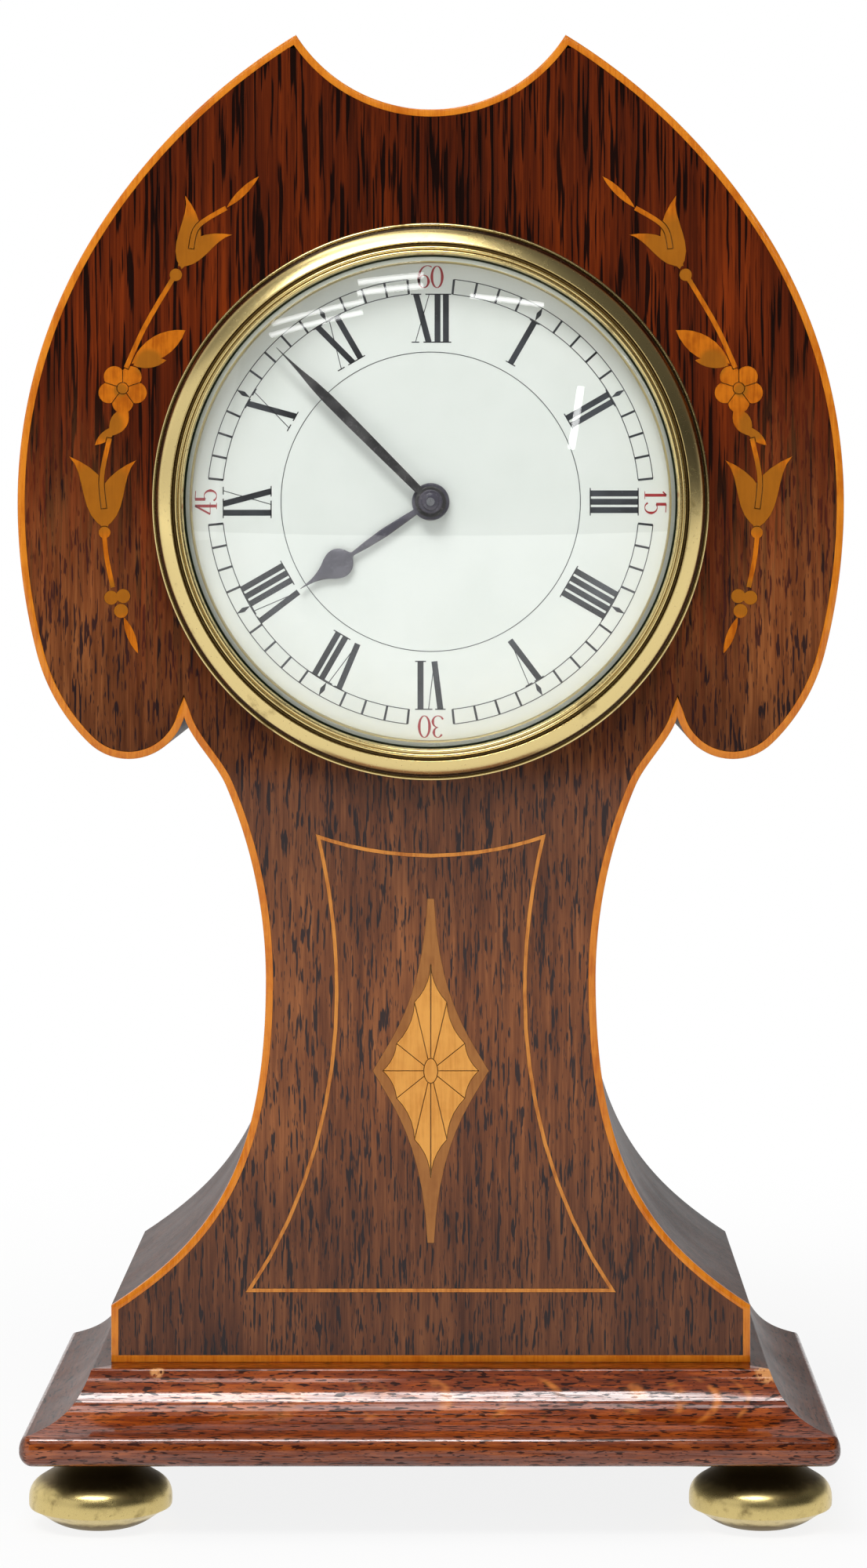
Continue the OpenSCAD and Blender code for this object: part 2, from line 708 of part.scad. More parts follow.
// A board with a bead along the front, and one with a bead along each side, share the mitred shape
module plinth_board() color("chocolate") difference() {
    translate([0, face_y - plinth_front, plinth_z]) intersection() {
        translate([-plinth_half_w, 0, 0]) rotate([90, 0, 90]) linear_extrude(plinth_w)
            polygon(concat(bead_edge, [[plinth_depth, plinth_board_t], [plinth_depth, 0]]));
        translate([0, plinth_depth, 0]) rotate([90, 0, 0]) linear_extrude(plinth_depth)
            polygon(concat(side_bead_edge, mirrored(side_bead_edge)));
    }
    for (x = [-foot_x, foot_x], d = [foot_front, foot_rear]) translate([x, face_y + d, plinth_z - over])
        cylinder(h = stud_len + over, r = foot_stud_r + seat_fit);
    plinth_screw_holes();
    at_plinth_screws() translate([0, 0, -over])
        cylinder(h = screw_sink + over, r = plinth_screw_head_r + seat_fit);
}
screw_sink = 2.5;
screw_bite = base_board_t - 2;
screw_tip_room = 0.5;
plinth_screw_head_r = 2 * plinth_screw_r;
module at_plinth_screws() for (x = [-plinth_screw_x, plinth_screw_x], d = plinth_screw_depths)
    translate([x, face_y + d, plinth_z]) children();
module plinth_screw_holes() at_plinth_screws() translate([0, 0, -over])
    cylinder(h = plinth_board_t + cove_h + screw_bite + over, r = plinth_screw_r + seat_fit);
module plinth_core() color("burlywood") difference() {
    translate([-core_half_w, face_y + core_front, plinth_z + plinth_board_t])
        cube([2 * core_half_w, case_depth - core_front, cove_h]);
    plinth_screw_holes();
}
// Cove section: out from the core, up from the plinth board
cove_out = cove_top_t + cove_run;
cove_rise = cove_h - fillet_h;
cove_section = concat([[0, 0]],
    curve([cove_out, 0], [cove_out - 0.54 * cove_run, 0.14 * cove_rise],
        [cove_top_t + 0.22 * cove_run, 0.36 * cove_rise], [cove_top_t, cove_rise], 10),
    [[cove_top_t, cove_rise], [cove_top_t, cove_h], [0, cove_h]]);
module cove_run_along(length) rotate([90, 0, 90]) linear_extrude(length) polygon(cove_section);
module front_moulding() color("chocolate") translate([0, face_y + core_front, plinth_z + plinth_board_t])
    intersection() {
        translate([core_half_w + cove_out, 0, 0]) rotate([0, 0, 180])
            cove_run_along(2 * (core_half_w + cove_out));
        linear_extrude(cove_h) polygon([[-core_half_w, 0], [core_half_w, 0],
            [core_half_w + cove_out, -cove_out], [-core_half_w - cove_out, -cove_out]]);
    }
module side_moulding(side) translate([side * core_half_w, face_y + core_front, plinth_z + plinth_board_t])
    intersection() {
        scale([side, 1, 1]) translate([0, case_depth - core_front, 0]) rotate([0, 0, -90])
            cove_run_along(case_depth - core_front + cove_out);
        scale([side, 1, 1]) linear_extrude(cove_h) polygon([[0, 0], [cove_out, -cove_out],
            [cove_out, case_depth - core_front], [0, case_depth - core_front]]);
    }
module left_moulding() color("chocolate") side_moulding(-1);
module right_moulding() color("chocolate") side_moulding(1);
module plinth_screws() color("gray") at_plinth_screws() {
    cylinder(h = plinth_board_t + cove_h + screw_bite - screw_tip_room, r = plinth_screw_r);
    cylinder(h = screw_sink, r = plinth_screw_head_r);
}

// Feet: contact ring, low dome, upright rim, straight shoulder and neck, with the stud on top
foot_r = foot_d / 2;
foot_section = concat([[0, 0], [0.38 * foot_r, 0]],
    curve([0.38 * foot_r, 0], [0.52 * foot_r, 0.01 * foot_h], [0.63 * foot_r, 0.06 * foot_h],
        [0.72 * foot_r, 0.115 * foot_h], 4),
    [[0.97 * foot_r, 0.27 * foot_h], [foot_r, 0.3 * foot_h], [foot_r, 0.5 * foot_h]],
    [[0.98 * foot_r, 0.525 * foot_h]],
    curve([0.63 * foot_r, 0.775 * foot_h], [0.55 * foot_r, 0.835 * foot_h], [0.48 * foot_r, 0.9 * foot_h],
        [0.48 * foot_r, foot_h], 4),
    [[0.48 * foot_r, foot_h], [0, foot_h]]);
module bun_foot(side, depth) color("goldenrod") translate([side * foot_x, face_y + depth, 0]) {
    rotate_extrude() polygon(foot_section);
    translate([0, 0, foot_h - over]) cylinder(h = stud_len - 0.5 + over, r = foot_stud_r);
}
module foot_front_left() bun_foot(-1, foot_front);
module foot_front_right() bun_foot(1, foot_front);
module foot_back_left() bun_foot(-1, foot_rear);
module foot_back_right() bun_foot(1, foot_rear);

// Bezel section: outer bead, groove, broad convex band, groove, inner bead and glass lip
band_out_r = bezel_r - 1;
band_in_r = sight_r + 2.2;
bead_in_r = sight_r + 1.2;
band_top = bezel_h - 0.8;
groove_h = bezel_h - 1.6;
bezel_section = concat(
    [[bezel_bore_r, 0], [bezel_r, 0], [bezel_r, 0.8], [bezel_r - 0.25, 1.2], [bezel_r - 0.5, 0.8]],
    [[band_out_r, 0.8]],
    curve([band_out_r, 0.52 * bezel_h], [band_out_r, 0.67 * bezel_h],
        [band_in_r + 1.5, band_top - 0.8], [band_in_r, band_top], 8),
    [[band_in_r, band_top], [band_in_r, groove_h], [bead_in_r, groove_h], [bead_in_r, bezel_h - 0.6]],
    arc([bead_in_r, bezel_h - 0.6], [sight_r, bezel_h - 0.6], (bead_in_r - sight_r) / 2 + 0.05, 1, 6),
    [[sight_r, bezel_h - 0.6], [sight_r, glass_seat + 0.02], [bezel_bore_r, glass_seat + 0.02]]);
module bezel_ring() color("gold") turned() polygon(bezel_section);
// Domed glass: a flat edge ring and a spherical dome of one thickness
dome_r0 = sight_r - 0.3;
dome_r = (dome_r0 * dome_r0 + glass_rise * glass_rise) / (2 * glass_rise);
dome_half = asin(dome_r0 / dome_r);
dome_steps = 12;
function dome_at(i, r) =
    [0, glass_seat + glass_rise - dome_r] + polar(r, 90 - dome_half * i / dome_steps);
glass_edge_r = bezel_bore_r - 0.1;
glass_section = concat(
    [for (i = [0:dome_steps]) dome_at(i, dome_r)],
    [[glass_edge_r, glass_seat], [glass_edge_r, slip_h]],
    [for (i = [dome_steps:-1:0]) dome_at(i, dome_r - glass_t)]);
module bezel_glass() color("lightcyan", 0.4) turned() polygon(glass_section);
module sight_ring() color("gold") turned() polygon([[sight_slip_r, 0], [sight_slip_r + 0.6, 0],
    [sight_slip_r + 0.6, collar_h], [glass_edge_r, collar_h], [glass_edge_r, slip_h],
    [sight_slip_r + 0.4, slip_h], [sight_slip_r, slip_h - 0.4]]);
module lug(dir, from, to) difference() {
    layer(from, to) rotate(dir) translate([lug_in_r, -lug_w / 2])
        square([lug_reach + drum_t / 2, lug_w]);
    rod(polar(lug_hole_r, dir), from - over, to + over, screw_r + seat_fit);
}
module drum() color("darkgoldenrod") {
    layer(0, back_board_back) difference() {
        circle(drum_r);
        circle(drum_in_r);
    }
    layer(-collar_h, 0) difference() {
        circle(bezel_bore_r - 0.02);
        circle(drum_in_r);
    }
    for (dir = lug_dirs) lug(dir, front_plate_back, front_plate_back + lug_t);
    for (dir = ring_screw_dirs) lug(dir, back_board_back - lug_t, back_board_back);
}
module dial() color("white") {
    layer(0, dial_t) difference() {
        circle(dial_r);
        circle(hour_pipe_r + 0.6);
    }
    for (dir = dial_foot_dirs)
        rod(polar(dial_foot_ring, dir), dial_t - 0.3, front_plate_back + 1, dial_foot_r);
}

// Back of the drum: ring, screws, door and hinge
module hinge_rod(from, to, r) translate([hinge_x, face_y + hinge_depth, dial_z + from])
    cylinder(h = to - from, r = r);
module knuckle(from, to, leaf_x, leaf_from, leaf_to) {
    hinge_rod(from, to, knuckle_r);
    translate([hinge_x + min(0, leaf_x), face_y + leaf_from, dial_z + from])
        cube([abs(leaf_x), leaf_to - leaf_from, to - from]);
}
door_knuckle_half = door_knuckle_len / 2;
ring_knuckle_len = hinge_len / 2 - door_knuckle_half - knuckle_gap;
module rear_bezel() color("gold") difference() {
    union() {
        layer(back_board_back, rear_ring_back) difference() {
            circle(rear_ring_r);
            circle(rear_open_r);
            for (dir = ring_screw_dirs) translate(polar(lug_hole_r, dir)) circle(screw_r + seat_fit);
        }
        for (low = [-hinge_len / 2, door_knuckle_half + knuckle_gap])
            knuckle(low, low + ring_knuckle_len, -knuckle_r, rear_ring_back - 0.5, hinge_depth);
    }
    for (dir = ring_screw_dirs) rod(polar(lug_hole_r, dir), rear_ring_back - screw_head_h,
        rear_ring_back + over, screw_head_r + seat_fit);
    hinge_rod(-hinge_len / 2 - over, hinge_len / 2 + over, hinge_pin_r + seat_fit);
}
module ring_screws() color("gray") for (dir = ring_screw_dirs)
    screw(polar(lug_hole_r, dir), rear_ring_back - screw_head_h, 1, rear_ring_t + lug_t - 2);
module back_door() color("gold") {
    difference() {
        union() {
            layer(door_at, door_at + door_t) circle(door_r);
            knuckle(-door_knuckle_half, door_knuckle_half, knuckle_r + 2, door_at, door_at + door_t);
        }
        hinge_rod(-door_knuckle_half - over, door_knuckle_half + over, hinge_pin_r + run_fit);
    }
    rod([knob_x, 0], door_at + door_t - 0.5, knob_end - 1.5, 1.3);
    rod([knob_x, 0], knob_end - 2, knob_end, 2.8);
}
module door_hinge_pin() color("gray") hinge_rod(-hinge_len / 2, hinge_len / 2, hinge_pin_r);

// Hands
minute_dir = 90 - 6 * rest_minute;
hour_dir = 90 - 30 * (rest_hour + rest_minute / 60);
hand_hub_r = 3.4;
spade_at = 0.7 * hour_len;
spade_r = 2.7;
// A flat blade from its share of length and half width at each station
module hand_blade(length, stations) polygon(concat(
    [for (s = stations) [s[0] * length, -s[1]]],
    [for (i = [len(stations) - 1:-1:0]) [stations[i][0] * length, stations[i][1]]]));
module minute_hand() color("black") layer(minute_hand_at, minute_hand_at + hand_t) rotate(minute_dir)
    difference() {
        union() {
            circle(0.82 * hand_hub_r);
            hand_blade(minute_len, [[0, 0.7], [0.3, 0.85], [0.55, 0.98], [0.67, 0.95], [0.76, 0.8],
                [0.84, 0.4], [0.92, 0.2], [1, 0.06]]);
        }
        circle(cannon_r);
    }
module hour_hand() color("black") layer(hour_hand_at, hour_hand_at + hand_t) rotate(hour_dir) difference() {
    union() {
        circle(hand_hub_r);
        hand_blade(spade_at, [[0, 0.45], [0.5, 0.82], [0.75, 0.6], [0.88, 0.34], [1, 0.4]]);
        translate([spade_at, 0]) circle(spade_r);
        translate([spade_at, 0]) hand_blade(hour_len - spade_at,
            [[0, spade_r], [0.25, 0.93 * spade_r], [0.4, 0.6 * spade_r], [0.6, 0.27 * spade_r], [1, 0.07]]);
    }
    circle(hour_pipe_r);
}
module hand_collet() color("darkgoldenrod") difference() {
    union() {
        rod(centre_at, minute_hand_at - 0.5, minute_hand_at, 2.2);
        rod(centre_at, collet_front + 0.3, minute_hand_at - 0.4, 1.6);
    }
    rod(centre_at, collet_front - over, minute_hand_at + over, set_r);
}

// Motion work: the cannon pinion on the setting arbor, the minute wheel and the hour wheel
cannon_back = front_plate_at - 0.4;
cannon_front = cannon_back - 1.8;
hour_wheel_at = front_plate_at - 4.8;
minute_wheel_at = cannon_back - 1.5;
hour_pipe_hole_r = cannon_r + run_fit;
module set_arbor() color("gray") {
    rod(centre_at, collet_front, set_knob_at + set_knob_t, set_r);
    layer(cannon_front, cannon_back) pinion_shape(cannon_leaves, motion_m, gap_phase(cannon_leaves, -90));
    rod(centre_at, minute_hand_at, cannon_front + 0.2, cannon_r);
}
module set_knob() color("gold") layer(set_knob_at, set_knob_at + set_knob_t) difference() {
    circle(set_knob_r);
    circle(set_r);
    for (i = [0:15]) rotate(22.5 * i) translate([set_knob_r + 0.2, 0]) circle(0.5, $fn = 16);
}
module hour_wheel() color("gold") difference() {
    union() {
        layer(hour_wheel_at, hour_wheel_at + wheel_t)
            wheel_shape(hour_n, hour_m, 90, hour_pipe_r + 0.8);
        rod(centre_at, hour_hand_at, hour_wheel_at + 0.2, hour_pipe_r);
    }
    rod(centre_at, hour_hand_at - over, hour_wheel_at + wheel_t + over, hour_pipe_hole_r);
}
module minute_wheel() color("gold") difference() {
    union() {
        layer(minute_wheel_at, minute_wheel_at + wheel_t) translate(minute_at)
            wheel_shape(minute_n, motion_m, -90, minute_stud_r + 1.8);
        layer(hour_wheel_at - 0.4, minute_wheel_at + 0.2) translate(minute_at)
            pinion_shape(minute_leaves, hour_m, gap_phase(minute_leaves, 90));
    }
    rod(minute_at, hour_wheel_at - 2, front_plate_at, minute_stud_r + run_fit);
}

// Movement frame
module plate_holes(from, to) {
    rod(centre_at, from, to, centre_r + run_fit);
    rod(barrel_at, from, to, barrel_arbor_r + run_fit);
    rod(intermediate_at, from, to, intermediate_pivot_r + run_fit);
    rod(third_at, from, to, third_pivot_r + run_fit);
    rod(fourth_at, from, to, fourth_pivot_r + run_fit);
}
module front_plate() color("darkgoldenrod") difference() {
    union() {
        layer(front_plate_at, front_plate_back) circle(dial_r);
        for (dir = pillar_dirs)
            rod(polar(pillar_ring_r, dir), front_plate_back - 0.5, back_plate_at, pillar_r);
        rod(minute_at, hour_wheel_at - 1, front_plate_at + 0.5, minute_stud_r);
    }
    plate_holes(front_plate_at - over, front_plate_back + over);
    rod(escape_at, front_plate_at - over, front_plate_back + over, fine_pivot_r + run_fit);
    for (dir = pillar_dirs)
        rod(polar(pillar_ring_r, dir), back_plate_at - 6, back_plate_at + over, screw_r + seat_fit);
    for (dir = lug_dirs)
        rod(polar(lug_hole_r, dir), front_plate_at - over, front_plate_back + over, screw_r + seat_fit);
    for (dir = dial_foot_dirs)
        rod(polar(dial_foot_ring, dir), front_plate_at - over, front_plate_back + over,
            dial_foot_r + seat_fit);
}
click_level = ratchet_at;
click_t = 1.8;
module back_plate() color("darkgoldenrod") difference() {
    union() {
        layer(back_plate_at, back_plate_back) circle(back_plate_r);
        rod(click_at, back_plate_back - 0.5, click_level + click_t + 0.6, stud_r);
    }
    plate_holes(back_plate_at - over, back_plate_back + over);
    rod(escape_at, back_plate_at - over, back_plate_back + over, escape_arbor_r + 0.6);
    for (at = [lever_at, balance_at])
        rod(at, back_plate_at - over, back_plate_back + over, fine_pivot_r + run_fit);
    for (dir = pillar_dirs)
        rod(polar(pillar_ring_r, dir), back_plate_at - over, back_plate_back + over, screw_r + seat_fit);
    for (at = concat(escapement_feet, [balance_foot]))
        rod(at, back_plate_at - over, back_plate_back + over, screw_r + seat_fit);
}
module movement_screws() color("gray") {
    for (dir = pillar_dirs) screw(polar(pillar_ring_r, dir), back_plate_back, 1, plate_t + 4);
    for (dir = lug_dirs) screw(polar(lug_hole_r, dir), front_plate_at, -1, plate_t + lug_t - 0.5);
    for (at = escapement_feet) screw(at, escapement_cock_back, 1, 6);
    screw(balance_foot, balance_cock_back, 1, balance_cock_back - back_plate_at - 0.4);
}

// Going train
barrel_shell_r = barrel_m * barrel_n / 2 - 1.4 * barrel_m - 0.2;
barrel_wall = 0.8;
barrel_bore_r = barrel_shell_r - barrel_wall;
intermediate_dir = heading(intermediate_at - barrel_at);
barrel_core_r = 4;
cover_t = 1;
module barrel() color("gold") difference() {
    union() {
        layer(great_wheel_at, great_wheel_at + great_wheel_t) translate(barrel_at)
            polygon(teeth(barrel_n, barrel_m, wheel_add, wheel_ded, wheel_share, intermediate_dir));
        rod(barrel_at, great_wheel_at + 0.5, barrel_back, barrel_shell_r);
    }
    rod(barrel_at, great_wheel_at + great_wheel_t, barrel_back + over, barrel_bore_r);
    rod(barrel_at, great_wheel_at - over, barrel_back + over, barrel_arbor_r + run_fit);
}
module barrel_cover() color("gold") layer(barrel_back - cover_t, barrel_back) translate(barrel_at)
    difference() {
        circle(barrel_bore_r - seat_fit);
        circle(barrel_arbor_r + run_fit);
    }
// A strip wound in a spiral, with its inner end at angle 0
function spiral(r0, r1, turns, side, n) =
    [for (i = [0:n]) polar(r0 + (r1 - r0) * i / n + side, 360 * turns * i / n)];
module strip(r0, r1, turns, t) {
    n = round(turns * 20);
    inner = spiral(r0, r1, turns, -t / 2, n);
    polygon(concat(spiral(r0, r1, turns, t / 2, n), [for (i = [n:-1:0]) inner[i]]));
}
spring_t = 0.5;
spring_turns = 8.5;
module mainspring() color("steelblue")
    layer(great_wheel_at + great_wheel_t + 0.3, barrel_back - cover_t - 0.3) translate(barrel_at)
        strip(barrel_core_r + spring_t / 2 + 0.1, barrel_bore_r - spring_t / 2 - 0.15, spring_turns,
            spring_t);
module barrel_arbor() color("gray") {
    rod(barrel_at, front_plate_at + 0.2, back_plate_back + 0.15, barrel_arbor_r);
    rod(barrel_at, great_wheel_at + great_wheel_t + 0.2, barrel_back - cover_t - 0.2, barrel_core_r);
    layer(back_plate_back, key_at + square_len) translate(barrel_at) square(square_w, center = true);
}
ratchet_tooth_h = 1.2;
module ratchet_wheel() color("silver") layer(ratchet_at, ratchet_at + ratchet_t) translate(barrel_at)
    difference() {
        polygon([for (i = [0:ratchet_n - 1]) let (a = 360 / ratchet_n * i)
            each [polar(ratchet_r - ratchet_tooth_h, a - 2), polar(ratchet_r, a)]]);
        square(square_w + 2 * seat_fit, center = true);
    }
click_nose = barrel_at + polar(ratchet_r + 0.25, 38);
module click() color("silver") layer(click_level, click_level + click_t) difference() {
    union() {
        translate(click_at) circle(2.2);
        polygon([click_at + [-1.4, 1.7], click_at + [1.2, 1.8], click_nose + [0.9, 2.2], click_nose]);
    }
    translate(click_at) circle(stud_r + run_fit);
}
click_spring_foot = click_at + [5, 9];
module click_spring() color("steelblue") {
    rod(click_spring_foot, back_plate_back, click_level + click_t, 1.3);
    layer(click_level + 0.3, click_level + click_t - 0.3)
        bar(click_spring_foot, click_nose + [1.6, 2.9], 0.5, $fn = 16);
}
key_sleeve_r = 3;
wing_h = 12;
module winding_key() color("gold") {
    difference() {
        rod(barrel_at, key_at, key_end - wing_h / 2, key_sleeve_r);
        layer(key_at - over, key_at + square_len + 0.5) translate(barrel_at)
            square(square_w + 2 * seat_fit, center = true);
    }
    translate([barrel_at[0], face_y + key_end - wing_h / 2, dial_z + barrel_at[1] - 1]) linear_extrude(2)
        for (side = [-1, 1]) {
            translate([side * (key_w / 2 - wing_h / 2), 0]) circle(wing_h / 2);
            translate([-key_w / 4, -2.5]) square([key_w / 2, 5]);
        }
}
module intermediate_wheel() color("gold") {
    layer(great_wheel_at - 0.5, great_wheel_at + great_wheel_t + 0.5) translate(intermediate_at)
        pinion_shape(intermediate_leaves, barrel_m, gap_phase(intermediate_leaves, intermediate_dir));
    layer(intermediate_wheel_at, intermediate_wheel_at + wheel_t) translate(intermediate_at)
        wheel_shape(intermediate_n, intermediate_m, heading(-intermediate_at), 2.6);
    rod(intermediate_at, front_plate_back + end_shake, back_plate_at - end_shake, intermediate_r);
    pivots(intermediate_at, intermediate_pivot_r, front_plate_at + 0.2, back_plate_back - 0.2);
}
module centre_wheel() color("gold") difference() {
    union() {
        layer(centre_wheel_at, centre_wheel_at + wheel_t)
            wheel_shape(centre_n, centre_m, third_dir, centre_r + 1.2);
        layer(intermediate_wheel_at - 0.8, intermediate_wheel_at + wheel_t + 0.8)
            pinion_shape(centre_leaves, intermediate_m, gap_phase(centre_leaves, heading(-intermediate_at)));
        rod(centre_at, front_plate_at + 0.1, back_plate_back - 0.1, centre_r);
    }
    rod(centre_at, front_plate_at - over, back_plate_back + over, set_r + run_fit);
}
module third_wheel() color("gold") {
    layer(centre_wheel_at - 0.4, centre_wheel_at + wheel_t + 0.4) translate(third_at)
        pinion_shape(third_leaves, centre_m, gap_phase(third_leaves, third_dir));
    layer(third_wheel_at, third_wheel_at + wheel_t) translate(third_at)
        wheel_shape(third_n, third_m, fourth_dir, 2.2);
    rod(third_at, front_plate_back + end_shake, back_plate_at - end_shake, third_r);
    pivots(third_at, third_pivot_r, front_plate_at + 0.2, back_plate_back - 0.2);
}
module fourth_wheel() color("gold") {
    layer(third_wheel_at - 0.5, third_wheel_at + wheel_t + 0.5) translate(fourth_at)
        pinion_shape(fourth_leaves, third_m, gap_phase(fourth_leaves, fourth_dir));
    layer(fourth_wheel_at, fourth_wheel_at + wheel_t) translate(fourth_at)
        wheel_shape(fourth_n, fourth_m, escape_dir, 2);
    rod(fourth_at, front_plate_back + end_shake, back_plate_at - end_shake, fourth_r);
    pivots(fourth_at, fourth_pivot_r, front_plate_at + 0.2, back_plate_back - 0.2);
}

// Escapement
module escape_wheel() color("gold") {
    layer(fourth_wheel_at - 0.4, fourth_wheel_at + wheel_t + 0.4) translate(escape_at)
        pinion_shape(escape_leaves, fourth_m, gap_phase(escape_leaves, escape_dir));
    layer(lever_level, lever_level + lever_t) translate(escape_at) difference() {
        polygon([for (i = [0:escape_n - 1]) let (a = 360 / escape_n * i)
            each [polar(escape_root_r, a - 4), polar(escape_r, a), polar(escape_r, a + 3),
                polar(escape_root_r, a + 9)]]);
        for (i = [0:3]) rotate(90 * i) translate([1.9, 0]) circle(0.8, $fn = 24);
    }
    rod(escape_at, front_plate_back + end_shake, escapement_cock_at - end_shake, escape_arbor_r);
    rod(escape_at, front_plate_at + 0.2, front_plate_back + over, fine_pivot_r);
    rod(escape_at, escapement_cock_at - over, escapement_cock_back - 0.1, fine_pivot_r);
}
pallet_u = -1.35;
pallet_v = 2.45;
module pallet_lever() color("silver") {
    layer(lever_level, lever_level + lever_t) translate(lever_at) rotate(lever_dir) {
        circle(1);
        for (side = [-1, 1]) {
            polygon([[0.5, 0], [0.6, side * 2.9], [-0.3, side * 3.3], [-0.8, side * 2.8], [-0.4, 0]]);
            polygon([[0, side * 2.9], [pallet_u, side * pallet_v], [pallet_u + 0.1, side * (pallet_v + 0.6)],
                [0, side * 3.2]]);
        }
        difference() {
            polygon([[0, -0.7], [fork_len - 1.6, -0.4], [fork_len - 1.2, -0.9], [fork_len, -0.9],
                [fork_len, 0.9], [fork_len - 1.2, 0.9], [fork_len - 1.6, 0.4], [0, 0.7]]);
            translate([fork_len - 0.9, -0.35]) square([over, 0.7]);
        }
    }
    rod(lever_at, back_plate_back + end_shake, escapement_cock_at - end_shake, 0.45);
    rod(lever_at, back_plate_at + 0.2, escapement_cock_back - 0.1, fine_pivot_r);
}
module escapement_cock() color("gold") difference() {
    union() {
        layer(escapement_cock_at, escapement_cock_back) {
            bar(escapement_feet[0], escape_at, 3);
            bar(escape_at, lever_at, 3);
            bar(lever_at, escapement_feet[1], 3);
        }
        for (at = escapement_feet) rod(at, back_plate_back, escapement_cock_back, cock_post_r);
    }
    for (at = [escape_at, lever_at])
        rod(at, escapement_cock_at - over, escapement_cock_back + over, fine_pivot_r + run_fit);
    for (at = escapement_feet)
        rod(at, back_plate_back - over, escapement_cock_back + over, screw_r + seat_fit);
}
module balance_wheel() color("gold") {
    layer(balance_level, balance_level + balance_t) translate(balance_at) {
        difference() {
            circle(balance_r);
            circle(balance_r - 1.4);
        }
        translate([-balance_r + 0.7, -0.7]) square([2 * balance_r - 1.4, 1.4]);
        circle(1.4);
    }
    rod(balance_at, back_plate_back + end_shake, balance_cock_at - end_shake, staff_r);
    rod(balance_at, back_plate_at + 0.2, balance_cock_back + 0.3, fine_pivot_r);
    rod(balance_at, lever_level + lever_t + 0.6, lever_level + lever_t + 1.4, pin_orbit_r + 0.6);
    rod(balance_at + polar(pin_orbit_r, lever_dir + 180), lever_level - 0.1, lever_level + lever_t + 0.8,
        0.25);
}
hairspring_in_r = staff_r + 0.2;
hairspring_out_r = 5.4;
index_hub_r = 1.4;
// The hairspring ends at a stud under the cock, on the way from the balance to the cock's foot
stud_dir = heading(balance_foot - balance_at);
module hairspring() color("steelblue") layer(hairspring_at, hairspring_at + hairspring_h)
    translate(balance_at) rotate(stud_dir - 180) strip(hairspring_in_r, hairspring_out_r, 6.5, 0.14);
module balance_cock() color("gold") difference() {
    union() {
        layer(balance_cock_at, balance_cock_back) {
            bar(balance_foot, balance_at, 2 * balance_post_r - 0.4);
            for (p = [balance_foot, balance_at]) translate(p) circle(balance_post_r + 0.2);
        }
        rod(balance_foot, back_plate_back, balance_cock_at + 0.2, balance_post_r);
        rod(balance_at, balance_cock_at + 0.2, balance_cock_back + 1, index_hub_r);
        rod(balance_at + polar(hairspring_out_r + 0.6, stud_dir), hairspring_at, balance_cock_at + 0.2, 0.4);
    }
    rod(balance_at, balance_cock_at - over, balance_cock_back + 2, fine_pivot_r + run_fit);
    rod(balance_foot, back_plate_back - over, balance_cock_back + over, screw_r + seat_fit);
}
index_len = 9;
module regulator_index() color("silver") layer(balance_cock_back + 0.1, balance_cock_back + 0.8)
    translate(balance_at) difference() {
        union() {
            circle(index_hub_r + 1.2);
            polygon([[2, -0.7], [index_len - 0.5, -0.3], [index_len, 0], [index_len - 0.5, 0.3], [2, 0.7]]);
        }
        circle(index_hub_r + run_fit);
    }

side_wrap();
front_board();
back_board();
base_board();
front_veneer();
edge_stringing();
panel_stringing();
left_spray();
right_spray();
patera_border();
patera_fan();
plinth_board();
plinth_core();
front_moulding();
left_moulding();
right_moulding();
plinth_screws();
foot_front_left();
foot_front_right();
foot_back_left();
foot_back_right();
bezel_ring();
bezel_glass();
sight_ring();
drum();
dial();
rear_bezel();
ring_screws();
back_door();
door_hinge_pin();
minute_hand();
hour_hand();
hand_collet();
set_arbor();
set_knob();
hour_wheel();
minute_wheel();
front_plate();
back_plate();
movement_screws();
barrel();
barrel_cover();
mainspring();
barrel_arbor();
ratchet_wheel();
click();
click_spring();
winding_key();
intermediate_wheel();
centre_wheel();
third_wheel();
fourth_wheel();
escape_wheel();
pallet_lever();
escapement_cock();
balance_wheel();
hairspring();
balance_cock();
regulator_index();
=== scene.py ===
"""Looks of a balloon mantel clock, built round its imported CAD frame."""

import logging
import math
from dataclasses import dataclass, field
from enum import Enum
from typing import Any, Sequence

import bmesh
import bpy
import numpy as np
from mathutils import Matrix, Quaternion, Vector


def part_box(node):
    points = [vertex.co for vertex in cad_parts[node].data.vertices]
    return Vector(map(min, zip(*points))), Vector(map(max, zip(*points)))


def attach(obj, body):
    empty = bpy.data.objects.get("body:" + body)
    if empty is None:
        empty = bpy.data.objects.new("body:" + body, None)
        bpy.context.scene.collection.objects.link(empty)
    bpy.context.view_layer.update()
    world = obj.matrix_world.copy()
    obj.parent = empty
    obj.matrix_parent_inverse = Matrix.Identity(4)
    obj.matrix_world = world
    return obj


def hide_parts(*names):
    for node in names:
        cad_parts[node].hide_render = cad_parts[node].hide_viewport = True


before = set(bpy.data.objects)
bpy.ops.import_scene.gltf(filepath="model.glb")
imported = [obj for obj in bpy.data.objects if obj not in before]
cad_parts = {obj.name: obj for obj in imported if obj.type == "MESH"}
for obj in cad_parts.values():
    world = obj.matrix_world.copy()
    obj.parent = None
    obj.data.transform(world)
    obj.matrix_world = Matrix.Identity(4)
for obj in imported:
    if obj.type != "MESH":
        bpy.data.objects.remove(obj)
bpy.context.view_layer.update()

LOG = logging.getLogger("balloon_clock")
MM = 0.001
Array = np.ndarray
Colour = tuple[float, float, float, float]
Point = tuple[float, float, float]
Stations = tuple[tuple[float, float], ...]
Finishes = dict[str, bpy.types.Material]


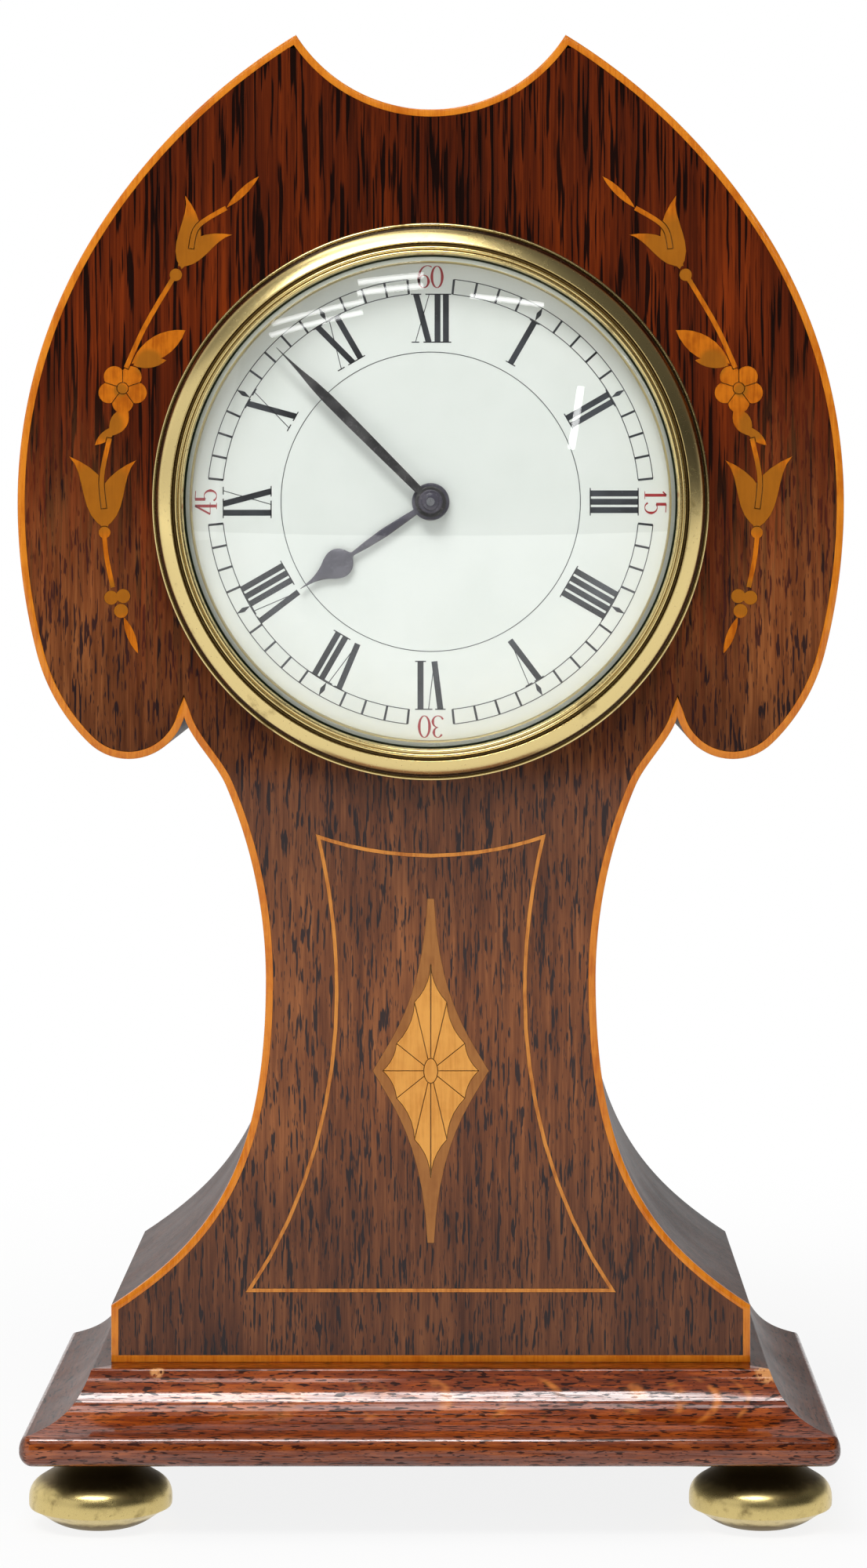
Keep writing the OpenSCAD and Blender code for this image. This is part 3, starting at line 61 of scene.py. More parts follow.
def tint(red: float, green: float, blue: float) -> Colour:
    """Turn a display colour of 0 to 255 into the linear colour that a shader takes.

    Args:
        red, green, blue: the display colour, 0 to 255.

    Returns:
        The linear colour, with alpha 1.
    """
    shown = np.array((red, green, blue)) / 255
    linear = np.where(shown > 0.04045, ((shown + 0.055) / 1.055) ** 2.4, shown / 12.92)
    return (*linear.tolist(), 1.0)


def middle(node: str) -> Vector:
    """The middle of a CAD node's box at rest, in millimetres."""
    low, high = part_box(node)
    return (low + high) / 2 / MM


FACE_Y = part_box("front_veneer")[0].y / MM
DIAL_Z = middle("bezel_ring").z
TRUNK_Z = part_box("edge_stringing")[0].z / MM
BACK_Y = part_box("side_wrap")[1].y / MM
PLINTH_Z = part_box("plinth_board")[0].z / MM
HUB = (0.0, FACE_Y, DIAL_Z)


class Value:
    """One output of a node tree; sums and products on it add Math nodes."""

    def __init__(self, bench: "Bench", socket: bpy.types.NodeSocket) -> None:
        """Keep the output and the bench it belongs to."""
        self.bench = bench
        self.socket = socket

    def maths(self, operation: str, *terms: Any) -> "Value":
        """Add one Math node over the terms, in their order."""
        return self.bench.node("ShaderNodeMath", {"operation": operation}, dict(enumerate(terms)))

    def __add__(self, other: Any) -> "Value":
        """Sum."""
        return self.maths("ADD", self, other)

    def __radd__(self, other: Any) -> "Value":
        """Sum, reflected."""
        return self.maths("ADD", other, self)

    def __sub__(self, other: Any) -> "Value":
        """Difference."""
        return self.maths("SUBTRACT", self, other)

    def __rsub__(self, other: Any) -> "Value":
        """Difference, reflected."""
        return self.maths("SUBTRACT", other, self)

    def __mul__(self, other: Any) -> "Value":
        """Product."""
        return self.maths("MULTIPLY", self, other)

    def __rmul__(self, other: Any) -> "Value":
        """Product, reflected."""
        return self.maths("MULTIPLY", other, self)

    def most(self, other: Any) -> "Value":
        """The larger of two values."""
        return self.maths("MAXIMUM", self, other)

    def size(self) -> "Value":
        """The value without its sign."""
        return self.maths("ABSOLUTE", self)

    def step(self, low: float, high: float, start: float = 0.0, end: float = 1.0) -> "Value":
        """A smooth step from start, at low, to end, at high."""
        settings = {"interpolation_type": "SMOOTHSTEP", "clamp": True}
        return self.bench.node("ShaderNodeMapRange", settings, {0: self, 1: low, 2: high, 3: start, 4: end})


class Bench:
    """A node tree being made, and the calls that add to it."""

    def __init__(self, tree: bpy.types.NodeTree) -> None:
        """Start from an empty tree."""
        self.tree = tree
        self.tree.nodes.clear()

    def node(self, kind: str, settings: dict | None = None, inputs: dict | None = None,
             output: int | str = 0) -> Value:
        """Add any node.

        Args:
            kind: the node's type.
            settings: what is set on the node itself, first; stops are a colour ramp's.
            inputs: a number, colour, vector or Value for each named or numbered input.
            output: which output to hand on.

        Returns:
            The chosen output.
        """
        made = self.tree.nodes.new(kind)
        for name, setting in (settings or {}).items():
            if name == "stops":
                self._set_stops(made.color_ramp, setting)
            else:
                setattr(made, name, setting)
        for key, value in (inputs or {}).items():
            if isinstance(value, Value):
                self.tree.links.new(value.socket, made.inputs[key])
            else:
                made.inputs[key].default_value = value
        return Value(self, made.outputs[output])

    @staticmethod
    def _set_stops(ramp: bpy.types.ColorRamp, stops: Sequence[tuple[float, Colour]]) -> None:
        """Give a colour ramp its stops, from low to high.

        Args:
            ramp: the colour ramp.
            stops: place and colour of each stop.
        """
        while len(ramp.elements) < len(stops):
            ramp.elements.new(1.0)
        for element, (place, colour) in zip(ramp.elements, stops):
            element.position = place
            element.color = colour

    def place(self, scale: Sequence[float] = (1, 1, 1), shift: Sequence[float] = (0, 0, 0)) -> Value:
        """Object coordinates in millimetres, moved by shift and then scaled.

        Args:
            scale: cells per millimetre along each axis.
            shift: millimetres along each axis.

        Returns:
            The scaled coordinates.
        """
        spot = self.node("ShaderNodeTexCoord", output="Object")
        sizes = [s / MM for s in scale]
        moved = [a * b for a, b in zip(shift, scale)]
        return self.node("ShaderNodeMapping", {"vector_type": "POINT"},
                         {"Vector": spot, "Location": moved, "Scale": sizes})

    def noise(self, vector: Value, detail: float = 3.0, rough: float = 0.6) -> Value:
        """Soft noise of about one cell per unit of the vector."""
        return self.node("ShaderNodeTexNoise", {}, {"Vector": vector, "Scale": 1.0, "Detail": detail,
                                                    "Roughness": rough})

    def cloud(self, cells: float, detail: float = 3.0, rough: float = 0.6,
              shift: Sequence[float] = (0, 0, 0)) -> Value:
        """Soft noise with the same number of cells per millimetre all ways."""
        return self.noise(self.place([cells] * 3, shift), detail, rough)

    def part(self, vector: Value, axis: int) -> Value:
        """One component of a vector."""
        return self.node("ShaderNodeSeparateXYZ", {}, {0: vector}, axis)

    def across(self) -> Value:
        """Millimetres to the right of the clock's middle."""
        return self.part(self.place(), 0)

    def height(self, start: float = 0.0) -> Value:
        """Millimetres above a start."""
        return self.part(self.place(shift=(0, 0, -start)), 2)

    def mix(self, share: Any, first: Any, second: Any, blend: str = "MIX") -> Value:
        """A colour between first, at share 0, and second, at share 1."""
        settings = {"data_type": "RGBA", "blend_type": blend, "clamp_factor": True}
        return self.node("ShaderNodeMix", settings, {0: share, 6: first, 7: second}, 2)

    def ramp(self, value: Value, stops: Sequence[tuple[float, Colour]]) -> Value:
        """A colour that follows a value through the stops."""
        return self.node("ShaderNodeValToRGB", {"stops": stops}, {0: value})

    def bump(self, height: Value, depth: float) -> Value:
        """A normal for a height of 0 to 1 that is depth millimetres deep."""
        return self.node("ShaderNodeBump", {}, {"Strength": 1.0, "Distance": depth * MM, "Height": height})

    def spot(self, vector: Value, centre: Sequence[float], radius: float) -> Value:
        """1 inside a round spot and 0 outside it, with a soft edge; sizes follow the vector."""
        away = self.node("ShaderNodeVectorMath", {"operation": "DISTANCE"}, {0: vector, 1: centre}, "Value")
        return away.step(radius, radius * 0.6)

    def polish(self, sockets: dict) -> Value:
        """A Principled shader with these sockets."""
        return self.node("ShaderNodeBsdfPrincipled", {}, sockets)

    def sight(self) -> Value:
        """1 for rays from the eye, in reflections and through glass, and 0 for light on a surface.

        Returns:
            1 or 0.
        """
        kinds = ("Is Camera Ray", "Is Glossy Ray", "Is Transmission Ray")
        camera, glossy, through = (self.node("ShaderNodeLightPath", output=kind) for kind in kinds)
        return camera.most(glossy).most(through)

    def close(self, shader: Value, kind: str = "ShaderNodeOutputMaterial") -> None:
        """Join a shader to the tree's output."""
        self.tree.links.new(shader.socket, self.tree.nodes.new(kind).inputs["Surface"])


def new_finish(name: str) -> tuple[bpy.types.Material, Bench]:
    """Make an empty material and its bench.

    Args:
        name: the material's name.

    Returns:
        The material, and the bench over its nodes.
    """
    material = bpy.data.materials.new(name)
    material.use_nodes = True
    return material, Bench(material.node_tree)


class Grain(Enum):
    """The way that wood grain runs; the value is the axis."""

    ACROSS = 0
    DEEP = 1
    UPRIGHT = 2


@dataclass(frozen=True)
class WoodFigure:
    """Colours and pore sizes, in millimetres, of one kind of wood."""

    light: Colour
    mid: Colour
    dark: Colour
    pore: Colour
    pore_run: float
    pore_gap: float
    pore_edge: float
    grain: Grain = Grain.UPRIGHT
    short_share: float = 0.85

    def scaled(self, gap: float, run: float) -> list[float]:
        """Cells per millimetre: 1/gap across the grain and 1/run along it.

        Args:
            gap: millimetres per cell across the grain.
            run: millimetres per cell along it.

        Returns:
            The three scales.
        """
        cells = [1 / gap] * 3
        cells[self.grain.value] = 1 / run
        return cells

    def colour(self, bench: Bench) -> tuple[Value, Value]:
        """Lay out the wood's colour.

        The ground runs from dark to light with three noises drawn out along the grain: fine lines,
        streaks and broad bands. Pores are the top of two more noises, drawn out to their own length.

        Args:
            bench: the material being made.

        Returns:
            The colour, and the pores as 0 to 1.
        """
        fine = bench.noise(bench.place(self.scaled(0.35, self.pore_run * 2.2)))
        streak = bench.noise(bench.place(self.scaled(1.1, self.pore_run * 4), (31, 7, 13)), 3, 0.55)
        broad = bench.noise(bench.place(self.scaled(9, 60), (5, 3, 9)), 3, 0.55)
        level = fine * 0.3 + streak * 0.38 + broad * 0.32
        ground = bench.ramp(level, [(0.38, self.dark), (0.5, self.mid), (0.63, self.light)])
        long_pores = bench.noise(bench.place(self.scaled(self.pore_gap, self.pore_run)), 1.5, 0.45)
        short_pores = bench.noise(bench.place(self.scaled(self.pore_gap * 0.62, self.pore_run * 0.5),
                                              (17, 23, 41)), 1, 0.4)
        pores = long_pores.step(self.pore_edge, self.pore_edge + 0.06)
        pores = pores.most(short_pores.step(self.pore_edge + 0.07, self.pore_edge + 0.14) * self.short_share)
        return bench.mix(pores * 0.96, ground, self.pore), pores


@dataclass(frozen=True)
class Scar:
    """A chipped or scorched place: its middle and radius in millimetres in the row frame."""

    at: Point
    radius: float


@dataclass(frozen=True)
class PolishedWood:
    """French-polished or bare wood of one figure, with a few chips."""

    name: str
    figure: WoodFigure
    coat: float = 1.0
    rough: float = 0.42
    scars: tuple[Scar, ...] = ()
    bare: Colour = tint(206, 142, 84)
    coat_ior: float = 1.5
    coat_rough: float = 0.07
    sheen: float = 0.08
    rings: float = 0.0
    ring_z: float = 0.0
    ring_tone: Colour = tint(216, 128, 50)
    side_from: float = 0.0
    painted_side_shade: Colour = tint(82, 46, 30)
    under_z: float = 0.0
    painted_under_shade: Colour = tint(36, 22, 15)
    pore_depth: float = 0.015

    def growth_rings(self, bench: Bench) -> Value:
        """Pale growth rings, 0 to 1: narrow bands of a noise along x + 0.32 z squared, z from ring_z.

        Args:
            bench: the material being made.

        Returns:
            The rings as 0 to 1.
        """
        rise = bench.height(self.ring_z)
        across = bench.across()
        along = across + rise * rise * 0.32
        wave = bench.noise(bench.node("ShaderNodeCombineXYZ", {}, {0: along * 0.085, 1: 3.7}), 1, 0.5)
        band = wave.step(0.42, 0.49) * wave.step(0.56, 0.5)
        broken = bench.noise(bench.place((0.2, 0.2, 0.3), (4, 4, 4)), 2, 0.5).step(0.42, 0.6)
        return band * broken * (rise * rise).step(16, 3) * across.step(-50, 15, 0.2, 1.0)

    def material(self) -> bpy.types.Material:
        """Make the material: figure, rings, painted shade on the sides and the underside, chips, uneven gloss
        and slightly sunken pores.

        Returns:
            The material.
        """
        material, bench = new_finish(self.name)
        colour, pores = self.figure.colour(bench)
        if self.rings:
            colour = bench.mix(self.growth_rings(bench) * self.rings, colour, self.ring_tone)
        # Painted shade: beyond side_from across the middle, the wood turns to a darker tone, as its sides in
        # shade.
        if self.side_from:
            away = bench.across().size()
            colour = bench.mix(away.step(self.side_from, self.side_from + 0.8) * 0.8, colour, self.painted_side_shade)
        # Painted shade: below under_z the wood turns near black, as its underside in shade.
        if self.under_z:
            under = bench.height().step(self.under_z + 0.5, self.under_z)
            colour = bench.mix(under, colour, self.painted_under_shade)
        ragged = bench.cloud(0.9)
        for scar in self.scars:
            chip = bench.spot(bench.place(), scar.at, scar.radius) * ragged.step(0.36, 0.5)
            colour = bench.mix(chip, colour, self.bare)
        haze = bench.cloud(0.05, 4)
        shine = haze * 0.25 + (self.rough - 0.1)
        lines = bench.noise(bench.place(self.figure.scaled(0.3, 16)), 3, 0.65)
        cover = (1 - pores * 0.65) * lines.step(0.3, 0.62, 0.3, 1.0) * self.coat
        bench.close(bench.polish({
            "Base Color": colour, "Roughness": shine, "Specular IOR Level": self.sheen, "Coat Weight": cover,
            "Coat Roughness": self.coat_rough, "Coat IOR": self.coat_ior,
            "Normal": bench.bump(1 - pores, self.pore_depth)}))
        return material


@dataclass(frozen=True)
class FaceVeneer:
    """The veneer of the front: a deep red head above a paler, greyer brown trunk, whose grey tone is partly
    painted reflection haze.
    """

    name: str
    head: WoodFigure
    trunk: WoodFigure
    blend_low: float = -62.0
    blend_high: float = 8.0

    def material(self) -> bpy.types.Material:
        """Make the material: both figures, mixed smoothly by height from the dial's centre, under one polish.

        At the lobes the trunk's figure reaches further up than in the middle. The neck, the foot of the trunk
        and the crown are darkened with a blue-grey tint, as painted shade.

        Returns:
            The material.
        """
        material, bench = new_finish(self.name)
        upper, upper_pores = self.head.colour(bench)
        lower, lower_pores = self.trunk.colour(bench)
        ragged = bench.noise(bench.place((0.12, 0.12, 0.03)))
        height = bench.height(DIAL_Z) + (ragged - 0.5) * 28
        lobes = bench.across().size().step(44, 64) * 24
        rise = (height - lobes).step(self.blend_low, self.blend_high)
        # The trunk's paler, greyer figure below the head is partly the wood and partly painted reflection
        # haze.
        colour = bench.mix(rise, lower, upper)
        pores = lower_pores * (1 - rise) + upper_pores * rise
        # Painted shade: the neck, the foot of the trunk and the crown are darkened with a blue-grey tint.
        neck = height.step(-88, -62) * height.step(-22, -46)
        painted_height_shade = neck * 0.75 + height.step(-108, -136) * 0.8 + height.step(30, 62) * 0.6
        colour = bench.mix(painted_height_shade, colour, (0.56, 0.56, 0.66, 1.0), "MULTIPLY")
        haze = bench.cloud(0.03, 4, shift=(9, 0, 2))
        bench.close(bench.polish({
            "Base Color": colour, "Roughness": haze * 0.2 + 0.3, "Specular IOR Level": 0.05,
            "Coat Weight": 0.5, "Coat Roughness": 0.05, "Normal": bench.bump(1 - pores, 0.012)}))
        return material


@dataclass(frozen=True)
class Boxwood:
    """Pale close-grained inlay under the same polish."""

    name: str
    light: Colour
    dark: Colour
    cloud: float = 6.0
    scorched: tuple[Scar, ...] = ()
    scorch: Colour = tint(150, 92, 20)

    def material(self) -> bpy.types.Material:
        """Make the material: fine lines along the grain, soft clouds, and places scorched in hot sand.

        Returns:
            The material.
        """
        material, bench = new_finish(self.name)
        lines = bench.noise(bench.place((2.2, 2.2, 0.16)))
        clouds = bench.cloud(1 / self.cloud, shift=(3, 8, 5))
        shade = (lines * 0.45 + clouds * 0.55).step(0.4, 0.66)
        colour = bench.mix(shade, self.light, self.dark)
        for scar in self.scorched:
            colour = bench.mix(bench.spot(bench.place(), scar.at, scar.radius) * 0.8, colour, self.scorch)
        bench.close(bench.polish({
            "Base Color": colour, "Roughness": lines * 0.2 + 0.3,
            "Specular IOR Level": 0.06, "Coat Weight": 0.55, "Coat Roughness": 0.06,
            "Normal": bench.bump(lines, 0.006)}))
        return material


@dataclass(frozen=True)
class Brass:
    """Turned brass with rubbed lacquer and brown patina.

    Rings about the dial's axis have an inner and outer radius and a tone painted on them; on the bezel the
    darker rings are painted shade in its groove and hollow, and on the slip a dark green ring is the glass's
    edge painted dark. Rubbed brass is bright between two heights and dull above and below; the bright band is
    partly rubbed brass and partly a painted highlight, and the dull ends are partly tarnish and partly
    painted shade. Spun brass has fine lines round the dial's axis.
    """

    name: str
    bright: Colour
    dull: Colour
    patina: float = 0.5
    rough: float = 0.2
    cell: float = 5.0
    soft: float = 0.18
    rings: tuple[tuple[float, float, Colour], ...] = ()
    rubbed: tuple[float, float] | None = None
    spun: bool = False

    def material(self) -> bpy.types.Material:
        """Make the material: patches of patina, small specks, fine turning marks, and the painted highlight
        and shade of rubbed brass and of toned rings.

        Returns:
            The material.
        """
        material, bench = new_finish(self.name)
        patches = bench.cloud(1 / self.cell, 6, 0.62)
        specks = bench.cloud(1.6, shift=(2, 9, 4))
        edge = 0.66 - 0.24 * self.patina
        wear_and_shade = patches.step(edge, edge + self.soft)
        wear_and_shade = wear_and_shade.most(specks.step(0.62, 0.76) * 0.5)
        # Painted highlight and shade: between the two heights the brass stays bright where the highlight
        # falls; above and below it turns dull, partly tarnish and partly painted shade.
        if self.rubbed:
            low, high = self.rubbed
            height = bench.height() + (patches - 0.5) * 2
            ends = height.step(low + 0.6, low - 0.6).most(height.step(high - 0.8, high + 1.2))
            wear_and_shade = wear_and_shade.most(ends * 0.92)
        marks = bench.cloud(5, 2, 0.5)
        flat = bench.place((1, 0, 1), (0, 0, -DIAL_Z))
        away = bench.node("ShaderNodeVectorMath", {"operation": "LENGTH"}, {0: flat}, "Value")
        if self.spun:
            lathe = bench.noise(bench.node("ShaderNodeCombineXYZ", {}, {0: away * 1.3}), 5, 0.75)
            wear_and_shade = wear_and_shade.most(lathe.step(0.5, 0.72) * 0.6)
            marks = lathe
        colour = bench.mix(wear_and_shade, self.bright, self.dull)
        # Painted shade: on the bezel these rings darken the outer groove and the hollow; on the slip a dark
        # green ring paints the glass's dark edge.
        for low, high, tone in self.rings:
            inside = away.step(low - 0.05, low + 0.05) * away.step(high + 0.05, high - 0.05)
            colour = bench.mix(inside, colour, tone)
        bench.close(bench.polish({
            "Base Color": colour, "Metallic": 1.0,
            "Roughness": wear_and_shade * 0.22 + (marks * 0.1 + (self.rough - 0.05)),
            "Normal": bench.bump(marks * 0.6 + specks * 0.4, 0.004)}))
        return material


@dataclass(frozen=True)
class Steel:
    """Finely brushed metal of one tone."""

    name: str
    light: Colour
    dark: Colour
    rough: float = 0.3

    def material(self) -> bpy.types.Material:
        """Make the material: brushing lines and faint clouds.

        Returns:
            The material.
        """
        material, bench = new_finish(self.name)
        lines = bench.noise(bench.place((9, 9, 1.2)))
        clouds = bench.cloud(0.2)
        shade = (lines * 0.5 + clouds * 0.5).step(0.35, 0.65)
        bench.close(bench.polish({
            "Base Color": bench.mix(shade, self.light, self.dark), "Metallic": 1.0,
            "Roughness": lines * 0.16 + (self.rough - 0.08), "Normal": bench.bump(lines, 0.003)}))
        return material


@dataclass(frozen=True)
class Enamel:
    """Fired enamel or print on it, with a faint bloom."""

    name: str
    light: Colour
    dark: Colour
    rough: float = 0.12
    coat: float = 0.4
    specks: float = 0.5

    def material(self) -> bpy.types.Material:
        """Make the material: a near-even tone with pin-point dust.

        Returns:
            The material.
        """
        material, bench = new_finish(self.name)
        bloom = bench.cloud(0.06)
        dust = bench.cloud(2.6, 2, 0.5).step(0.66, 0.76) * self.specks
        shade = bloom.step(0.35, 0.7) * 0.6 + dust
        bench.close(bench.polish({
            "Base Color": bench.mix(shade, self.light, self.dark), "Roughness": bloom * 0.1 + self.rough,
            "Coat Weight": self.coat, "Coat Roughness": 0.05}))
        return material


@dataclass(frozen=True)
class HandBlack:
    """Blackened steel, dusty and rubbed to grey at its high spots."""

    name: str
    black: Colour
    grey: Colour

    def material(self) -> bpy.types.Material:
        """Make the material: black with grey dust and a soft sheen.

        Returns:
            The material.
        """
        material, bench = new_finish(self.name)
        dust = bench.cloud(2.2, 4, 0.7).step(0.54, 0.72)
        film = bench.cloud(0.25).step(0.4, 0.65) * 0.3
        bench.close(bench.polish({
            "Base Color": bench.mix(dust * 0.7 + film, self.black, self.grey),
            "Roughness": dust * 0.2 + 0.32, "Normal": bench.bump(dust, 0.01)}))
        return material


@dataclass(frozen=True)
class ClearGlass:
    """Clear glass that lets lamps through to what it covers."""

    name: str
    ior: float = 1.5

    def material(self) -> bpy.types.Material:
        """Make the material: glass for the eye, and open to shadow and diffuse rays.

        Returns:
            The material.
        """
        material, bench = new_finish(self.name)
        glass = bench.polish({"Base Color": (0.985, 1.0, 0.99, 1.0), "Roughness": 0.0, "IOR": self.ior,
                              "Transmission Weight": 1.0})
        shadow = bench.node("ShaderNodeLightPath", output="Is Shadow Ray")
        diffuse = bench.node("ShaderNodeLightPath", output="Is Diffuse Ray")
        through = bench.node("ShaderNodeBsdfTransparent")
        bench.close(bench.node("ShaderNodeMixShader", {}, {0: shadow.most(diffuse), 1: glass, 2: through}))
        return material


class Skin:
    """Points and faces of one piece in millimetres, gathered from one or more surfaces."""

    def __init__(self) -> None:
        """Start empty."""
        self.points: list[Array] = []
        self.faces: list[list[int]] = []
        self.count = 0

    def grid(self, points: Array, round_rows: bool = False, round_cols: bool = False,
             capped: bool = False) -> "Skin":
        """Add a grid of quads.

        Args:
            points: rows by columns by 3.
            round_rows: whether the last row joins the first.
            round_cols: whether the last column joins the first.
            capped: whether the first and last rows are closed with a face.

        Returns:
            The skin itself.
        """
        rows, cols = points.shape[:2]
        row = np.arange(rows if round_rows else rows - 1)[:, None]
        col = np.arange(cols if round_cols else cols - 1)[None, :]
        next_row = (row + 1) % rows
        next_col = (col + 1) % cols
        corners = (row * cols + col, row * cols + next_col, next_row * cols + next_col, next_row * cols + col)
        quads = np.stack(corners, -1).reshape(-1, 4) + self.count
        self.faces += quads.tolist()
        if capped:
            first = np.arange(cols) + self.count
            self.faces += [first[::-1].tolist(), (first + (rows - 1) * cols).tolist()]
        self.points.append(points.reshape(-1, 3))
        self.count += rows * cols
        return self

    def turned(self, section: Array, centre: Sequence[float] = HUB, forward: bool = True, count: int = 160,
               closed: bool = True) -> "Skin":
        """Add a turned surface.

        A section point of radius r and height h, turned by angle a, lies at centre + r cos(a) + r sin(a)
        on the two axes of the face plate, and h along the turning axis.

        Args:
            section: radius and height pairs.
            centre: where radius and height are 0.
            forward: whether the axis points to the front; otherwise it points up.
            count: steps round the axis.
            closed: whether the section is a loop; otherwise it starts and ends on the axis.

        Returns:
            The skin itself.
        """
        angle = np.linspace(0, 2 * math.pi, count, endpoint=False)[:, None]
        across = section[None, :, 0] * np.cos(angle)
        other = section[None, :, 0] * np.sin(angle)
        along = np.broadcast_to(section[None, :, 1], across.shape)
        axes = (across, -along, other) if forward else (across, other, along)
        return self.grid(np.stack(axes, -1) + np.array(centre), True, closed)

    def piece(self, name: str, crease: float = 38.0) -> bpy.types.Object:
        """Make the object, with doubles merged, faces outwards and edges sharper than crease kept.

        Args:
            name: the piece's name.
            crease: degrees above which an edge stays sharp.

        Returns:
            The object, in metres and at the origin.
        """
        mesh = bpy.data.meshes.new(name)
        mesh.from_pydata((np.concatenate(self.points) * MM).tolist(), [], self.faces)
        work = bmesh.new()
        work.from_mesh(mesh)
        bmesh.ops.remove_doubles(work, verts=work.verts, dist=2e-7)
        bmesh.ops.dissolve_degenerate(work, dist=1e-7, edges=work.edges)
        bmesh.ops.recalc_face_normals(work, faces=work.faces)
        work.to_mesh(mesh)
        work.free()
        mesh.polygons.foreach_set("use_smooth", np.ones(len(mesh.polygons), dtype=bool))
        mesh.set_sharp_from_angle(angle=math.radians(crease))
        made = bpy.data.objects.new(name, mesh)
        bpy.context.scene.collection.objects.link(made)
        return made


def arc(start: Sequence[float], end: Sequence[float], radius: float, side: int, count: int) -> Array:
    """Points on the short arc from start towards end.

    The centre stands off the middle of the chord by the root of radius squared less half the chord
    squared, to the left of the way for side 1 and to the right for side -1.

    Args:
        start: first point.
        end: point that the arc stops short of.
        radius: its radius.
        side: 1 or -1.
        count: how many points.

    Returns:
        The points.
    """
    begin = np.array(start, float)
    way = np.array(end, float) - begin
    length = math.hypot(*way)
    stand = math.sqrt(max(0.0, radius * radius - length * length / 4))
    centre = begin + way / 2 + side * stand * np.array((-way[1], way[0])) / length
    first = begin - centre
    last = begin + way - centre
    sweep = math.atan2(first[0] * last[1] - first[1] * last[0], first @ last)
    angle = math.atan2(first[1], first[0]) + sweep * np.linspace(0, 1, count, endpoint=False)
    return centre + math.hypot(*first) * np.stack((np.cos(angle), np.sin(angle)), -1)


def bow(start: Sequence[float], lead: Sequence[float], tail: Sequence[float], end: Sequence[float],
        count: int) -> Array:
    """Points on the cubic curve from start towards end, pulled by its two handles lead and tail.

    Args:
        start: first point.
        lead: handle of the first point.
        tail: handle of the last point.
        end: point that the curve stops short of.
        count: how many points.

    Returns:
        The points.
    """
    t = np.linspace(0, 1, count, endpoint=False)[:, None]
    s = 1 - t
    corners = [np.array(p, float) for p in (start, lead, tail, end)]
    return s ** 3 * corners[0] + 3 * s * s * t * corners[1] + 3 * s * t * t * corners[2] + t ** 3 * corners[3]


def dress(made: bpy.types.Object, body: str, slot: str, finish: bpy.types.Material,
          *nodes: str) -> bpy.types.Object:
    """Give a new piece its finish and its body, and hide the CAD nodes it stands for.

    Args:
        made: the new piece.
        body: the body it rides on.
        slot: the record's material slot; not used.
        finish: its material.
        nodes: the CAD nodes it stands for.

    Returns:
        The piece.
    """
    made.data.materials.clear()
    made.data.materials.append(finish)
    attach(made, body)
    if nodes:
        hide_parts(*nodes)
    LOG.info("%s: %d faces on %s", made.name, len(made.data.polygons), body)
    return made


